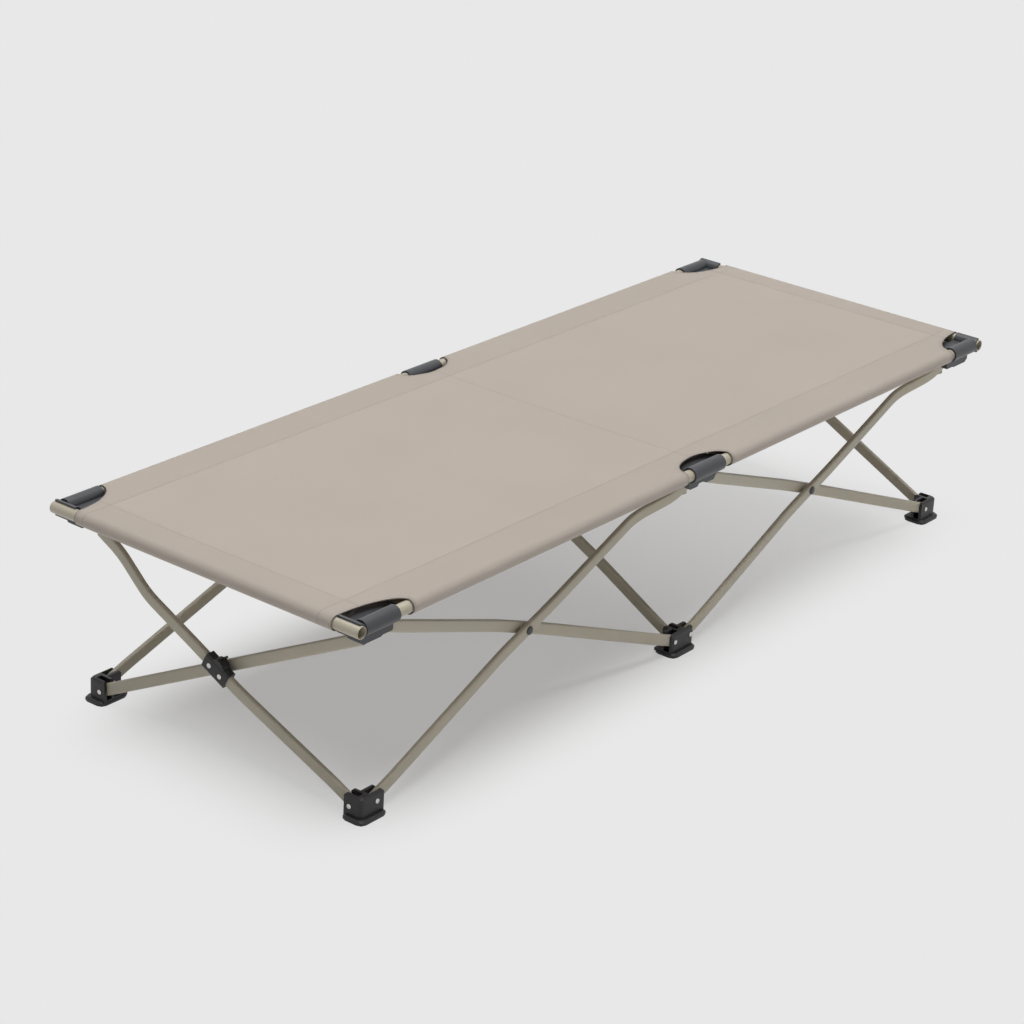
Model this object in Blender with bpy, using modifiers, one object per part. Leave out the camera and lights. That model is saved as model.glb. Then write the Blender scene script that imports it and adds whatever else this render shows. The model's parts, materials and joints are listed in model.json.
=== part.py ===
"""Folding camp bed: a taut fabric sling on two split side rails and two end bars, over three X frames.

Metres, +Z up, floor at z = 0 and the middle of the bed over the origin.
X runs along the bed from the head end (-X) to the tail end (+X). Y runs across it, with the front at -Y.
A place across the bed is often given as u or v, its distance from the middle along X or Y.
"""

import math

import bmesh
import bpy
from mathutils import Matrix, Vector

# The bed
END_BAR_X = 0.950
RAIL_Y = 0.337
RAIL_Z = 0.376
TUBE_RADIUS = 0.011
TUBE_WALL = 0.0012
END_BAR_PAST_HEM = 0.0003

# The flat-oval struts
STRUT_WIDTH = 0.022
STRUT_THICKNESS = 0.011
STRUT_WALL = 0.0012
STRUT_CORNER = 0.0036
STRUT_PAST_PIVOT = 0.008
CROSS_PAST_TOP = 0.008
CROSS_TOP_CAP = 0.002

# Pivots of the side scissors, in planes across Y
SIDE_CORNER_X = 0.862
SIDE_MIDDLE_X = 0.024
SIDE_FOOT_Z = 0.029
SIDE_TOP_BELOW_RAIL = 0.027
SIDE_TOP_Z = RAIL_Z - SIDE_TOP_BELOW_RAIL
SIDE_FOOT_Y = 0.308
SIDE_TOP_Y = 0.316
SIDE_OUTER_HUB_Y = 0.291
SIDE_HUB_STEP = 0.0145
SIDE_OUTER_BEND_Y = 0.285

# Pivots of the cross scissors, in planes across X
CROSS_Y = 0.293
CROSS_FOOT_Z = 0.024
CROSS_TOP_BELOW_RAIL = 0.051
CROSS_TOP_Z = RAIL_Z - CROSS_TOP_BELOW_RAIL
CROSS_FOOT_X = 0.889
CROSS_TOP_X = 0.889
CROSS_OUTER_HUB_X = 0.908
CROSS_HUB_STEP = 0.020
CROSS_OUTER_BEND_X = 0.911
MIDDLE_CROSS_X = 0.0075

# Pins and rivets
PIN_RADIUS = 0.0026
PIN_CLEARANCE = 0.0003
HUB_PIN_RADIUS = 0.0030
HUB_COLLAR_RADIUS = 0.0098
RIVET_HEAD_RADIUS = 0.0046
RIVET_HEAD = 0.0018
GAP = 0.0003
SLOT_CLEARANCE = 0.0004

# Moulded feet
FOOT_LENGTH = 0.068
FOOT_DEPTH = 0.048
FOOT_X = 0.875
FOOT_Y = 0.304
FOOT_CORNER = 0.012
FOOT_SKIRT = 0.0085
FOOT_TOP = 0.046
FOOT_WALL = 0.0062
FOOT_INNER_WALL = 0.0055
FOOT_FLOOR = 0.0095

# Moulded connectors
SLEEVE_WALL = 0.0036
SLEEVE_CLEARANCE = 0.0004
CORNER_SLEEVE_START = 0.857
MIDDLE_SLEEVE_HALF = 0.0465
RAIL_STOP = 0.0018
WEB_TOP = RAIL_Z + 0.002
WEB_THICKNESS = 0.006
WEB_PAST_SADDLE = 0.008
LUG_OUTER_WALL = 0.012
LUG_INNER_WALL = 0.0036
LUG_BELOW_PIN = 0.005
SADDLE_WALL = 0.004
SADDLE_BELOW_RAIL = 0.046
CRADLE_PAST_RAIL = 0.010
CUT_PAST = 0.050
HEM_MARGIN = 0.005

# Knuckle brackets on the end scissors
KNUCKLE_LENGTH = 0.056
KNUCKLE_WALL = 0.0042
KNUCKLE_RIVET_PITCH = 0.027
KNUCKLE_RIVET_DEPTH = 0.0030
KNUCKLE_HUMP = 0.006
KNUCKLE_HOOK = 0.012

# Fabric sling
FABRIC = 0.0014
HEM_CLEARANCE = 0.0003
HEM_TANGENT = 0.0004
CORNER_CUT_X = 0.125
CORNER_CUT_Y = 0.048
MIDDLE_CUT_X = 0.068
MIDDLE_CUT_Y = 0.040
CUT_CENTRE_OUT = 0.004

SIDES = 16
HEAD, TAIL = -1, 1
FRONT, BACK = -1, 1
END_NAMES = {HEAD: "head", TAIL: "tail"}
SIDE_NAMES = {FRONT: "front", BACK: "back"}

for thing in list(bpy.data.objects):
    bpy.data.objects.remove(thing, do_unlink=True)

parts = bpy.data.collections.new("Camp bed")
helpers = bpy.data.collections.new("Cutters")
bpy.context.scene.collection.children.link(parts)
bpy.context.scene.collection.children.link(helpers)

FINISHES = {
    "steel": ((0.300, 0.275, 0.225, 1.0), 0.42, 0.0),
    "plastic": ((0.020, 0.020, 0.024, 1.0), 0.45, 0.0),
    "rivet": ((0.500, 0.490, 0.470, 1.0), 0.30, 1.0),
    "fabric": ((0.480, 0.420, 0.360, 1.0), 0.85, 0.0),
}


def finish(name, kind):
    """A Principled material of its own for one piece."""
    colour, roughness, metallic = FINISHES[kind]
    material = bpy.data.materials.new(name + "_" + kind)
    material.use_nodes = True
    shader = material.node_tree.nodes["Principled BSDF"]
    shader.inputs["Base Color"].default_value = colour
    shader.inputs["Roughness"].default_value = roughness
    shader.inputs["Metallic"].default_value = metallic
    return material


# Bodies: an empty on each joint axis, parented along the linkage
body_at = {}


def body(name, parent, at):
    """An empty that carries the pieces of one moving body, on the axis of its joint."""
    empty = bpy.data.objects.new("body_" + name, None)
    empty.empty_display_size = 0.03
    parts.objects.link(empty)
    if parent:
        empty.parent = bpy.data.objects["body_" + parent]
    empty.location = Vector(at) - (body_at[parent] if parent else Vector())
    body_at[name] = Vector(at)


def piece(name, mesh, kind, carrier, at=(0, 0, 0), turn=None, scale=(1, 1, 1)):
    """A named part of the bed, on the body that carries it."""
    obj = bpy.data.objects.new(name, mesh.copy())
    parts.objects.link(obj)
    obj.data.materials.clear()
    obj.data.materials.append(finish(name, kind))
    obj.parent = bpy.data.objects["body_" + carrier]
    obj.location = Vector(at) - body_at[carrier]
    if turn:
        obj.rotation_euler = turn.to_euler()
    obj.scale = scale
    return obj


# Helper solids
def helper(bm, name="helper"):
    """A hidden object holding a bmesh, for Booleans."""
    bmesh.ops.recalc_face_normals(bm, faces=bm.faces)
    mesh = bpy.data.meshes.new(name)
    bm.to_mesh(mesh)
    bm.free()
    obj = bpy.data.objects.new(name, mesh)
    helpers.objects.link(obj)
    obj.hide_render = True
    obj.display_type = "WIRE"
    return obj


def box_bm(low, high):
    bm = bmesh.new()
    bmesh.ops.create_cube(bm, size=1.0)
    low, high = Vector(low), Vector(high)
    for vert in bm.verts:
        vert.co = Vector((low[i] + (vert.co[i] + 0.5) * (high[i] - low[i]) for i in range(3)))
    return bm


def round_edges(bm, chosen, radius, segments):
    edges = [edge for edge in bm.edges if chosen((edge.verts[0].co + edge.verts[1].co) / 2, edge)]
    bmesh.ops.bevel(bm, geom=edges, offset=radius, segments=segments, profile=0.5, affect="EDGES")


def along(edge, axis):
    run = edge.verts[1].co - edge.verts[0].co
    return abs(run[axis]) > 0.999 * run.length


def box(low, high):
    return helper(box_bm(low, high))


def rod(centre, axis, radius, length, sides=SIDES):
    """A cylinder along X, Y or Z (axis 0, 1 or 2) about its centre."""
    bm = bmesh.new()
    bmesh.ops.create_cone(bm, cap_ends=True, segments=sides, radius1=radius, radius2=radius, depth=length)
    turn = (Matrix.Rotation(math.pi / 2, 4, "Y"), Matrix.Rotation(-math.pi / 2, 4, "X"), Matrix())[axis]
    bmesh.ops.transform(bm, matrix=Matrix.Translation(centre) @ turn, verts=bm.verts)
    return helper(bm)


def prism(outline, axis, low, high):
    """A closed outline, given in the two axes other than axis, extruded from low to high."""
    others = [i for i in range(3) if i != axis]
    bm = bmesh.new()
    verts = []
    for point in outline:
        place = [0.0, 0.0, 0.0]
        place[axis] = low
        place[others[0]], place[others[1]] = point
        verts.append(bm.verts.new(place))
    made = bmesh.ops.extrude_face_region(bm, geom=[bm.faces.new(verts)])
    step = Vector((0, 0, 0))
    step[axis] = high - low
    moved = [item for item in made["geom"] if isinstance(item, bmesh.types.BMVert)]
    bmesh.ops.translate(bm, vec=step, verts=moved)
    return helper(bm)


def combine(base, join=(), cut=()):
    """The mesh of base with some solids joined to it and then others cut from it."""
    for operation, tools in (("UNION", join), ("DIFFERENCE", cut)):
        for tool in tools:
            modifier = base.modifiers.new(operation.lower(), "BOOLEAN")
            modifier.operation = operation
            modifier.solver = "EXACT"
            modifier.object = tool
    graph = bpy.context.evaluated_depsgraph_get()
    graph.update()
    mesh = bpy.data.meshes.new_from_object(base.evaluated_get(graph))
    for used in [base, *join, *cut]:
        bpy.data.objects.remove(used, do_unlink=True)
    return mesh


def sorted_box(u, v, z):
    """A box from three (low, high) pairs."""
    return box((u[0], v[0], z[0]), (u[1], v[1], z[1]))


# Rails and end bars: round tube
def tube(name, carrier, centre, axis, length):
    """A straight open tube: an open cylinder with its wall added inwards."""
    bm = bmesh.new()
    bmesh.ops.create_cone(
        bm, cap_ends=False, segments=SIDES, radius1=TUBE_RADIUS, radius2=TUBE_RADIUS, depth=length
    )
    mesh = bpy.data.meshes.new(name)
    bm.to_mesh(mesh)
    bm.free()
    turn = Matrix.Rotation(math.pi / 2, 3, "Y" if axis == 0 else "X")
    obj = piece(name, mesh, "steel", carrier, centre, turn)
    wall = obj.modifiers.new("wall", "SOLIDIFY")
    wall.thickness = TUBE_WALL
    wall.offset = -1.0
    return obj


# Struts: flat-oval tube, straight in its own plane and set over sideways where it passes its partner
def sideways(knots, s):
    for (s0, d0), (s1, d1) in zip(knots, knots[1:]):
        if s <= s1:
            return d0 + (d1 - d0) * (s - s0) / (s1 - s0)
    return knots[-1][1]


def flat_bar(start, end, width, thickness, corner, length, origin, knots):
    """A bar along X from start to end, broad in Z, moved in Y by the knots (share of the length, offset)."""
    bm = box_bm((start, -thickness / 2, -width / 2), (end, thickness / 2, width / 2))
    round_edges(bm, lambda middle, edge: along(edge, 0), corner, 1)
    for s, _ in knots[1:-1]:
        geometry = [*bm.verts, *bm.edges, *bm.faces]
        bmesh.ops.bisect_plane(bm, geom=geometry, plane_co=((s - origin) * length, 0, 0), plane_no=(1, 0, 0))
    for vert in bm.verts:
        vert.co.y += sideways(knots, origin + vert.co.x / length)
    return helper(bm)


def strut(name, carrier, foot, top, thin_axis, knots, origin, capped):
    """A strut between its foot and top pivots, holed at both and at the hub half way."""
    foot, top = Vector(foot), Vector(top)
    length = (top - foot).length
    run = (top - foot) / length
    side = Vector((1, 0, 0)) if thin_axis == 0 else Vector((0, 1, 0))
    turn = Matrix((run, side, run.cross(side))).transposed()
    start = -origin * length - STRUT_PAST_PIVOT
    end = (1 - origin) * length + (CROSS_PAST_TOP if capped else STRUT_PAST_PIVOT)
    outer = flat_bar(start, end, STRUT_WIDTH, STRUT_THICKNESS, STRUT_CORNER, length, origin, knots)
    inner_end = end - CROSS_TOP_CAP if capped else end + 0.01
    inner = flat_bar(
        start - 0.01,
        inner_end,
        STRUT_WIDTH - 2 * STRUT_WALL,
        STRUT_THICKNESS - 2 * STRUT_WALL,
        STRUT_CORNER - STRUT_WALL,
        length,
        origin,
        knots,
    )
    holes = [(0.0, PIN_RADIUS), (0.5, HUB_PIN_RADIUS)] + ([] if capped else [(1.0, PIN_RADIUS)])
    drills = [
        rod(((s - origin) * length, sideways(knots, s), 0), 1, radius + PIN_CLEARANCE, 0.03, 8)
        for s, radius in holes
    ]
    mesh = combine(outer, cut=[inner, *drills])
    at = foot + origin * length * run
    return piece(name, mesh, "steel", carrier, at, turn)


FOOT_STRAIGHT = 0.045
HUB_STRAIGHT = 0.08
OUTER_BEND = 0.865
TOP_STRAIGHT = 0.045


def side_knots(way, outer):
    """Sideways places of a side strut: in the foot, past the hub, the outer one's bend and the connector."""
    hub = SIDE_OUTER_HUB_Y - (0 if outer else SIDE_HUB_STEP)
    bend = [(OUTER_BEND, SIDE_OUTER_BEND_Y)] if outer else []
    stops = [
        (0.0, SIDE_FOOT_Y),
        (FOOT_STRAIGHT, SIDE_FOOT_Y),
        (0.5 - HUB_STRAIGHT, hub),
        (0.5 + HUB_STRAIGHT, hub),
        *bend,
        (1 - TOP_STRAIGHT, SIDE_TOP_Y),
        (1.0, SIDE_TOP_Y),
    ]
    return [(s, way * y) for s, y in stops]


def end_cross_knots(way, outer):
    hub = CROSS_OUTER_HUB_X - (0 if outer else CROSS_HUB_STEP)
    bend = [(0.78, CROSS_OUTER_BEND_X)] if outer else []
    stops = [
        (0.0, CROSS_FOOT_X),
        (0.06, CROSS_FOOT_X),
        (0.5 - HUB_STRAIGHT, hub),
        (0.5 + HUB_STRAIGHT, hub),
        *bend,
        (0.93, CROSS_TOP_X),
        (1.0, CROSS_TOP_X),
    ]
    return [(s, way * x) for s, x in stops]


def middle_cross_knots(way):
    stops = [(0.0, 0.0), (0.06, 0.0), (0.3, MIDDLE_CROSS_X), (1.0, MIDDLE_CROSS_X)]
    return [(s, way * x) for s, x in stops]


# Turned pins
def turned(name, carrier, profile, at, axis, steps=8):
    """A profile of (radius, height) pairs, from its top to its bottom, turned about the line of axis."""
    mesh = bpy.data.meshes.new(name)
    verts = [(radius, 0, height) for radius, height in profile]
    mesh.from_pydata(verts, [(i, i + 1) for i in range(len(verts) - 1)], [])
    turn = Vector(axis).to_track_quat("Z", "Y").to_matrix()
    obj = piece(name, mesh, "rivet", carrier, at, turn)
    screw = obj.modifiers.new("turn", "SCREW")
    screw.steps = screw.render_steps = steps
    screw.use_merge_vertices = True
    screw.merge_threshold = 1e-4
    return obj


def rivet(name, carrier, face, depth, axis):
    """A domed rivet whose head lies on a face, with its shank going depth below it."""
    shank = PIN_RADIUS
    profile = [
        (0, GAP + RIVET_HEAD),
        (RIVET_HEAD_RADIUS * 0.6, GAP + RIVET_HEAD * 0.85),
        (RIVET_HEAD_RADIUS, GAP + RIVET_HEAD * 0.3),
        (RIVET_HEAD_RADIUS, GAP),
        (shank, GAP),
        (shank, -depth),
        (0, -depth),
    ]
    return turned(name, carrier, profile, face, axis)


def hub_pin(name, carrier, at, axis, step, bracket_wall=0.0):
    """The pivot of one scissor: two heads, a shank and the spacer collar between the struts."""
    half = step / 2
    inner = half - STRUT_THICKNESS / 2 - GAP
    outer = half + STRUT_THICKNESS / 2 + GAP
    collar_top = inner - bracket_wall
    profile = [
        (0, outer + RIVET_HEAD),
        (RIVET_HEAD_RADIUS * 0.7, outer + RIVET_HEAD * 0.8),
        (RIVET_HEAD_RADIUS, outer),
        (HUB_PIN_RADIUS, outer),
        (HUB_PIN_RADIUS, collar_top),
        (HUB_COLLAR_RADIUS, collar_top),
        (HUB_COLLAR_RADIUS, -inner),
        (HUB_PIN_RADIUS, -inner),
        (HUB_PIN_RADIUS, -outer),
        (RIVET_HEAD_RADIUS, -outer),
        (RIVET_HEAD_RADIUS * 0.7, -outer - RIVET_HEAD * 0.8),
        (0, -outer - RIVET_HEAD),
    ]
    return turned(name, carrier, profile, at, axis)


# Feet
PIVOT_HOLE = PIN_RADIUS + PIN_CLEARANCE
SLOT_HALF = STRUT_THICKNESS / 2 + SLOT_CLEARANCE
END_SWING = math.hypot(STRUT_PAST_PIVOT, STRUT_WIDTH / 2) + SLOT_CLEARANCE


def foot_base(u, v):
    """The flared pad, with rounded corners."""
    bm = box_bm((u[0], v[0], 0), (u[1], v[1], FOOT_SKIRT))
    round_edges(bm, lambda middle, edge: along(edge, 2), FOOT_CORNER, 2)
    round_edges(bm, lambda middle, edge: middle.z > FOOT_SKIRT - 1e-5, 0.0035, 1)
    return helper(bm)


def foot_block(u, v, rounded):
    """The block that the ears are cut from, rounded at its outer corners and over its top."""
    bm = box_bm((u[0], v[0], 0.004), (u[1], v[1], FOOT_TOP))
    round_edges(bm, lambda middle, edge: along(edge, 2) and rounded(middle), 0.008, 2)
    round_edges(bm, lambda middle, edge: middle.z > FOOT_TOP - 1e-5, 0.004, 1)
    return helper(bm)


def corner_foot_mesh():
    """The foot of the +X, +Y corner."""
    side = (SIDE_FOOT_Y - SLOT_HALF, SIDE_FOOT_Y + SLOT_HALF)
    cross = (CROSS_FOOT_X - SLOT_HALF, CROSS_FOOT_X + SLOT_HALF)
    u = (FOOT_X - 0.030, cross[1] + FOOT_WALL)
    v = (FOOT_Y - 0.023, side[1] + FOOT_WALL)
    z = (FOOT_FLOOR, FOOT_TOP + CUT_PAST)
    inner_u = cross[0] - FOOT_INNER_WALL
    inner_v = side[0] - FOOT_INNER_WALL
    pad_u = (FOOT_X - FOOT_LENGTH / 2, FOOT_X + FOOT_LENGTH / 2)
    pad_v = (FOOT_Y - FOOT_DEPTH / 2, FOOT_Y + FOOT_DEPTH / 2)
    base = foot_base(pad_u, pad_v)
    block = foot_block(u, v, lambda middle: middle.x > u[1] - 1e-4 and middle.y > v[1] - 1e-4)
    cuts = [
        sorted_box((u[0] - 0.03, SIDE_CORNER_X + END_SWING), side, z),
        sorted_box(cross, (v[0] - 0.03, CROSS_Y + END_SWING), z),
        sorted_box((u[0] - 0.03, inner_u), (v[0] - 0.03, inner_v), z),
        rod((SIDE_CORNER_X, v[1] - 0.012, SIDE_FOOT_Z), 1, PIVOT_HOLE, 0.036, 8),
        rod((u[1] - 0.012, CROSS_Y, CROSS_FOOT_Z), 0, PIVOT_HOLE, 0.030, 8),
    ]
    return combine(base, [block], cuts), u, v


def middle_foot_mesh():
    """The foot of the middle of the +Y side, with two side slots and a clevis for the cross strut."""
    side = (SIDE_FOOT_Y - SLOT_HALF, SIDE_FOOT_Y + SLOT_HALF)
    u = (-SIDE_MIDDLE_X - 0.011, SIDE_MIDDLE_X + 0.011)
    v = (FOOT_Y - 0.023, side[1] + FOOT_WALL)
    z = (FOOT_FLOOR, FOOT_TOP + CUT_PAST)
    inner_v = side[0] - FOOT_INNER_WALL
    reach = SIDE_MIDDLE_X - END_SWING
    cheek = SLOT_HALF + FOOT_INNER_WALL
    base = foot_base((u[0] - 0.002, u[1] + 0.002), (FOOT_Y - FOOT_DEPTH / 2, FOOT_Y + FOOT_DEPTH / 2))
    block = foot_block(u, v, lambda middle: middle.y > v[1] - 1e-4)
    cuts = [sorted_box((-SLOT_HALF, SLOT_HALF), (v[0] - 0.03, CROSS_Y + END_SWING), z)]
    for way in (-1, 1):
        ends = sorted((way * reach, way * (u[1] + CUT_PAST)))
        cuts.append(sorted_box(ends, side, z))
        ends = sorted((way * cheek, way * (u[1] + CUT_PAST)))
        cuts.append(sorted_box(ends, (v[0] - 0.03, inner_v), z))
        cuts.append(rod((way * SIDE_MIDDLE_X, v[1] - 0.012, SIDE_FOOT_Z), 1, PIVOT_HOLE, 0.036, 8))
    holed = helper_of(combine(base, [block], cuts))
    pin = rod((0, CROSS_Y, CROSS_FOOT_Z), 0, PIN_RADIUS, 2 * cheek - 0.002, 16)
    return combine(holed, [pin]), v


def helper_of(mesh):
    obj = bpy.data.objects.new("helper", mesh)
    helpers.objects.link(obj)
    return obj


# Connectors
BORE = TUBE_RADIUS + SLEEVE_CLEARANCE
SLEEVE_RADIUS = BORE + SLEEVE_WALL
LUG = (SIDE_TOP_Y - SLOT_HALF - LUG_INNER_WALL, SIDE_TOP_Y + SLOT_HALF + LUG_OUTER_WALL)
SLOT_TOP = SIDE_TOP_Z + END_SWING
RAIL_END = END_BAR_X - BORE - RAIL_STOP
SLOT = (SIDE_TOP_Z - CUT_PAST, SLOT_TOP)
WEB = (WEB_TOP - WEB_THICKNESS, WEB_TOP)
WEB_INNER_Y = CROSS_Y - WEB_PAST_SADDLE
LUG_BOTTOM = SIDE_TOP_Z - LUG_BELOW_PIN
LUG_TOP = RAIL_Z - 0.008
# Where the end hem's mouth leaves the end bar bare
BARE_BAR_Y = RAIL_Y + CUT_CENTRE_OUT - CORNER_CUT_Y + HEM_MARGIN


def saddle(x):
    """The two cheeks that a cross strut's top sits between, open below."""
    top = (RAIL_Z - SADDLE_BELOW_RAIL, WEB_TOP - 0.002)
    across = (CROSS_Y - 0.014, LUG[0] + 0.001)
    near, far = SLOT_HALF, SLOT_HALF + SADDLE_WALL
    return [
        sorted_box((x - far, x - near), across, top),
        sorted_box((x + near, x + far), across, top),
    ]


def corner_connector_mesh():
    """The connector of the +X, +Y corner."""
    start = CORNER_SLEEVE_START
    end = END_BAR_X - BORE - 0.0004
    sleeve = rod(((start + end) / 2, RAIL_Y, RAIL_Z), 0, SLEEVE_RADIUS, end - start)
    bar_inside = END_BAR_X - BORE
    bore_ends = (start - 0.05, END_BAR_X + 0.02)
    saddle_outer = CROSS_TOP_X + SLOT_HALF + SADDLE_WALL
    web = prism(
        [
            (start, RAIL_Y - 0.004),
            (bar_inside, RAIL_Y - 0.004),
            (bar_inside, BARE_BAR_Y),
            (bar_inside - 0.018, BARE_BAR_Y),
            (saddle_outer + 0.004, WEB_INNER_Y),
            (2 * CROSS_TOP_X - saddle_outer - 0.004, WEB_INNER_Y),
            (start, LUG[0]),
        ],
        2,
        *WEB,
    )
    outline = [
        (start - 0.002, LUG_TOP),
        (start - 0.002, LUG_BOTTOM + 0.002),
        (start, LUG_BOTTOM),
        (start + 0.024, LUG_BOTTOM),
        (start + 0.026, LUG_BOTTOM - 0.002),
        (start + 0.070, LUG_BOTTOM - 0.002),
        (start + 0.078, LUG_BOTTOM + 0.004),
        (start + 0.078, LUG_TOP),
    ]
    lug = prism(outline, 1, *LUG)
    cradle_end = RAIL_Y + CRADLE_PAST_RAIL
    cradle_middle = (END_BAR_X, (BARE_BAR_Y + cradle_end) / 2, RAIL_Z)
    cradle_length = cradle_end - BARE_BAR_Y
    cradle = rod(cradle_middle, 1, SLEEVE_RADIUS, cradle_length)
    cuts = [
        rod(cradle_middle, 1, BORE, cradle_length + CUT_PAST, SIDES),
        sorted_box(
            (END_BAR_X + 0.001, END_BAR_X + CUT_PAST),
            (BARE_BAR_Y - CUT_PAST, cradle_end + CUT_PAST),
            (RAIL_Z - CUT_PAST, RAIL_Z + CUT_PAST),
        ),
        rod((sum(bore_ends) / 2, RAIL_Y, RAIL_Z), 0, BORE, bore_ends[1] - bore_ends[0], SIDES),
        sorted_box(
            (start - 0.02, SIDE_CORNER_X + END_SWING),
            (SIDE_TOP_Y - SLOT_HALF, SIDE_TOP_Y + SLOT_HALF),
            SLOT,
        ),
    ]
    body_mesh = combine(sleeve, [web, lug, cradle, *saddle(CROSS_TOP_X)], cuts)
    return pinned(body_mesh, [SIDE_CORNER_X])


def middle_connector_mesh(way):
    """The connector of the middle of the +Y side, its saddle to one side (way) of the middle."""
    half = MIDDLE_SLEEVE_HALF
    sleeve = rod((0, RAIL_Y, RAIL_Z), 0, SLEEVE_RADIUS, 2 * half)
    web = prism(
        [
            (-half + 0.006, RAIL_Y - 0.004),
            (half - 0.006, RAIL_Y - 0.004),
            (half - 0.018, CROSS_Y - 0.012),
            (-half + 0.018, CROSS_Y - 0.012),
        ],
        2,
        *WEB,
    )
    low = LUG_BOTTOM
    outline = [
        (-half + 0.003, LUG_TOP),
        (-half + 0.003, low + 0.009),
        (-half + 0.010, low),
        (-0.014, low),
        (-0.010, low + 0.005),
        (0.010, low + 0.005),
        (0.014, low),
        (half - 0.010, low),
        (half - 0.003, low + 0.009),
        (half - 0.003, LUG_TOP),
    ]
    lug = prism(outline, 1, *LUG)
    past = half + CUT_PAST
    cuts = [
        rod((0, RAIL_Y, RAIL_Z), 0, BORE, 2 * past, SIDES),
        sorted_box((-past, past), (SIDE_TOP_Y - SLOT_HALF, SIDE_TOP_Y + SLOT_HALF), SLOT),
    ]
    body_mesh = combine(sleeve, [web, lug, *saddle(way * MIDDLE_CROSS_X)], cuts)
    return pinned(body_mesh, [-SIDE_MIDDLE_X, SIDE_MIDDLE_X])


def pinned(mesh, places):
    """The connector with its pivot pins moulded across the slot."""
    length = LUG[1] - LUG[0] - 0.003
    pins = [rod((x, (LUG[0] + LUG[1]) / 2, SIDE_TOP_Z), 1, PIN_RADIUS, length, 10) for x in places]
    return combine(helper_of(mesh), pins)


# Knuckle brackets
def knuckle_mesh():
    """A clamshell round the outer end strut, along local X, with a hump and a hook on its upper side."""
    half = KNUCKLE_LENGTH / 2
    wide = STRUT_WIDTH / 2 + GAP + KNUCKLE_WALL
    thick = STRUT_THICKNESS / 2 + GAP + KNUCKLE_WALL
    bm = box_bm((-half, -thick, -wide), (half, thick, wide))
    round_edges(bm, lambda middle, edge: along(edge, 0), 0.005, 3)
    shell = helper(bm)
    hump = rod((0, 0, KNUCKLE_HUMP), 1, wide + 0.001, 2 * thick - 0.002, 16)
    hook_top = wide + KNUCKLE_HUMP + KNUCKLE_HOOK - 0.004
    hook = prism(
        [
            (0.002, wide),
            (0.006, wide),
            (0.003, hook_top - 0.002),
            (0.000, hook_top),
            (-0.002, hook_top - 0.001),
        ],
        1,
        -thick + 0.001,
        -thick + 0.009,
    )
    core_width = STRUT_WIDTH + 2 * GAP
    core_thickness = STRUT_THICKNESS + 2 * GAP
    past = half + CUT_PAST
    straight = [(0, 0), (1, 0)]
    core = flat_bar(-past, past, core_width, core_thickness, STRUT_CORNER, 1.0, 0.5, straight)
    pivot = rod((0, -thick, 0), 1, HUB_PIN_RADIUS + PIN_CLEARANCE, 2 * thick, 12)
    pocket_depth = STRUT_THICKNESS / 2 + 2 * GAP + RIVET_HEAD
    pocket = rod((0, pocket_depth / 2, 0), 1, RIVET_HEAD_RADIUS + GAP, pocket_depth, 12)
    seats = [
        rod((way * KNUCKLE_RIVET_PITCH / 2, thick, 0), 1, PIVOT_HOLE, 2 * (KNUCKLE_RIVET_DEPTH + GAP), 8)
        for way in (-1, 1)
    ]
    return combine(shell, [hump, hook], [core, pivot, pocket, *seats])


# The linkage
SIDE_HUB_X = (SIDE_CORNER_X + SIDE_MIDDLE_X) / 2
SIDE_HUB_Z = (SIDE_FOOT_Z + SIDE_TOP_Z) / 2
CROSS_HUB_Z = (CROSS_FOOT_Z + CROSS_TOP_Z) / 2


def side_bodies(side, root):
    """The bodies of one side, from its middle foot outwards."""
    name = SIDE_NAMES[side]
    y = side * SIDE_FOOT_Y
    for end in (HEAD, TAIL):
        first = f"{name}_{END_NAMES[end]}_strut_from_middle"
        second = f"{name}_{END_NAMES[end]}_strut_from_corner"
        body(first, root, (end * SIDE_MIDDLE_X, y, SIDE_FOOT_Z))
        body(second, first, (end * SIDE_HUB_X, side * SIDE_OUTER_HUB_Y, SIDE_HUB_Z))
        body(f"{END_NAMES[end]}_{name}_foot", second, (end * SIDE_CORNER_X, y, SIDE_FOOT_Z))
        corner_top = (end * SIDE_CORNER_X, side * SIDE_TOP_Y, SIDE_TOP_Z)
        body(f"{END_NAMES[end]}_{name}_connector", first, corner_top)
    body(
        f"middle_{name}_connector",
        f"{name}_head_strut_from_corner",
        (-SIDE_MIDDLE_X, side * SIDE_TOP_Y, SIDE_TOP_Z),
    )


body("middle_front_foot", None, (0, -FOOT_Y, 0))
side_bodies(FRONT, "middle_front_foot")
body("middle_cross_strut_from_front", "middle_front_foot", (0, -CROSS_Y, CROSS_FOOT_Z))
body("middle_cross_strut_from_back", "middle_cross_strut_from_front", (0, 0, CROSS_HUB_Z))
body("middle_back_foot", "middle_cross_strut_from_back", (0, CROSS_Y, CROSS_FOOT_Z))
side_bodies(BACK, "middle_back_foot")
for end in (HEAD, TAIL):
    label = END_NAMES[end]
    x = end * CROSS_FOOT_X
    body(f"{label}_cross_strut_from_front", f"{label}_front_foot", (x, -CROSS_Y, CROSS_FOOT_Z))
    body(f"{label}_cross_strut_from_back", f"{label}_cross_strut_from_front", (x, 0, CROSS_HUB_Z))

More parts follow.
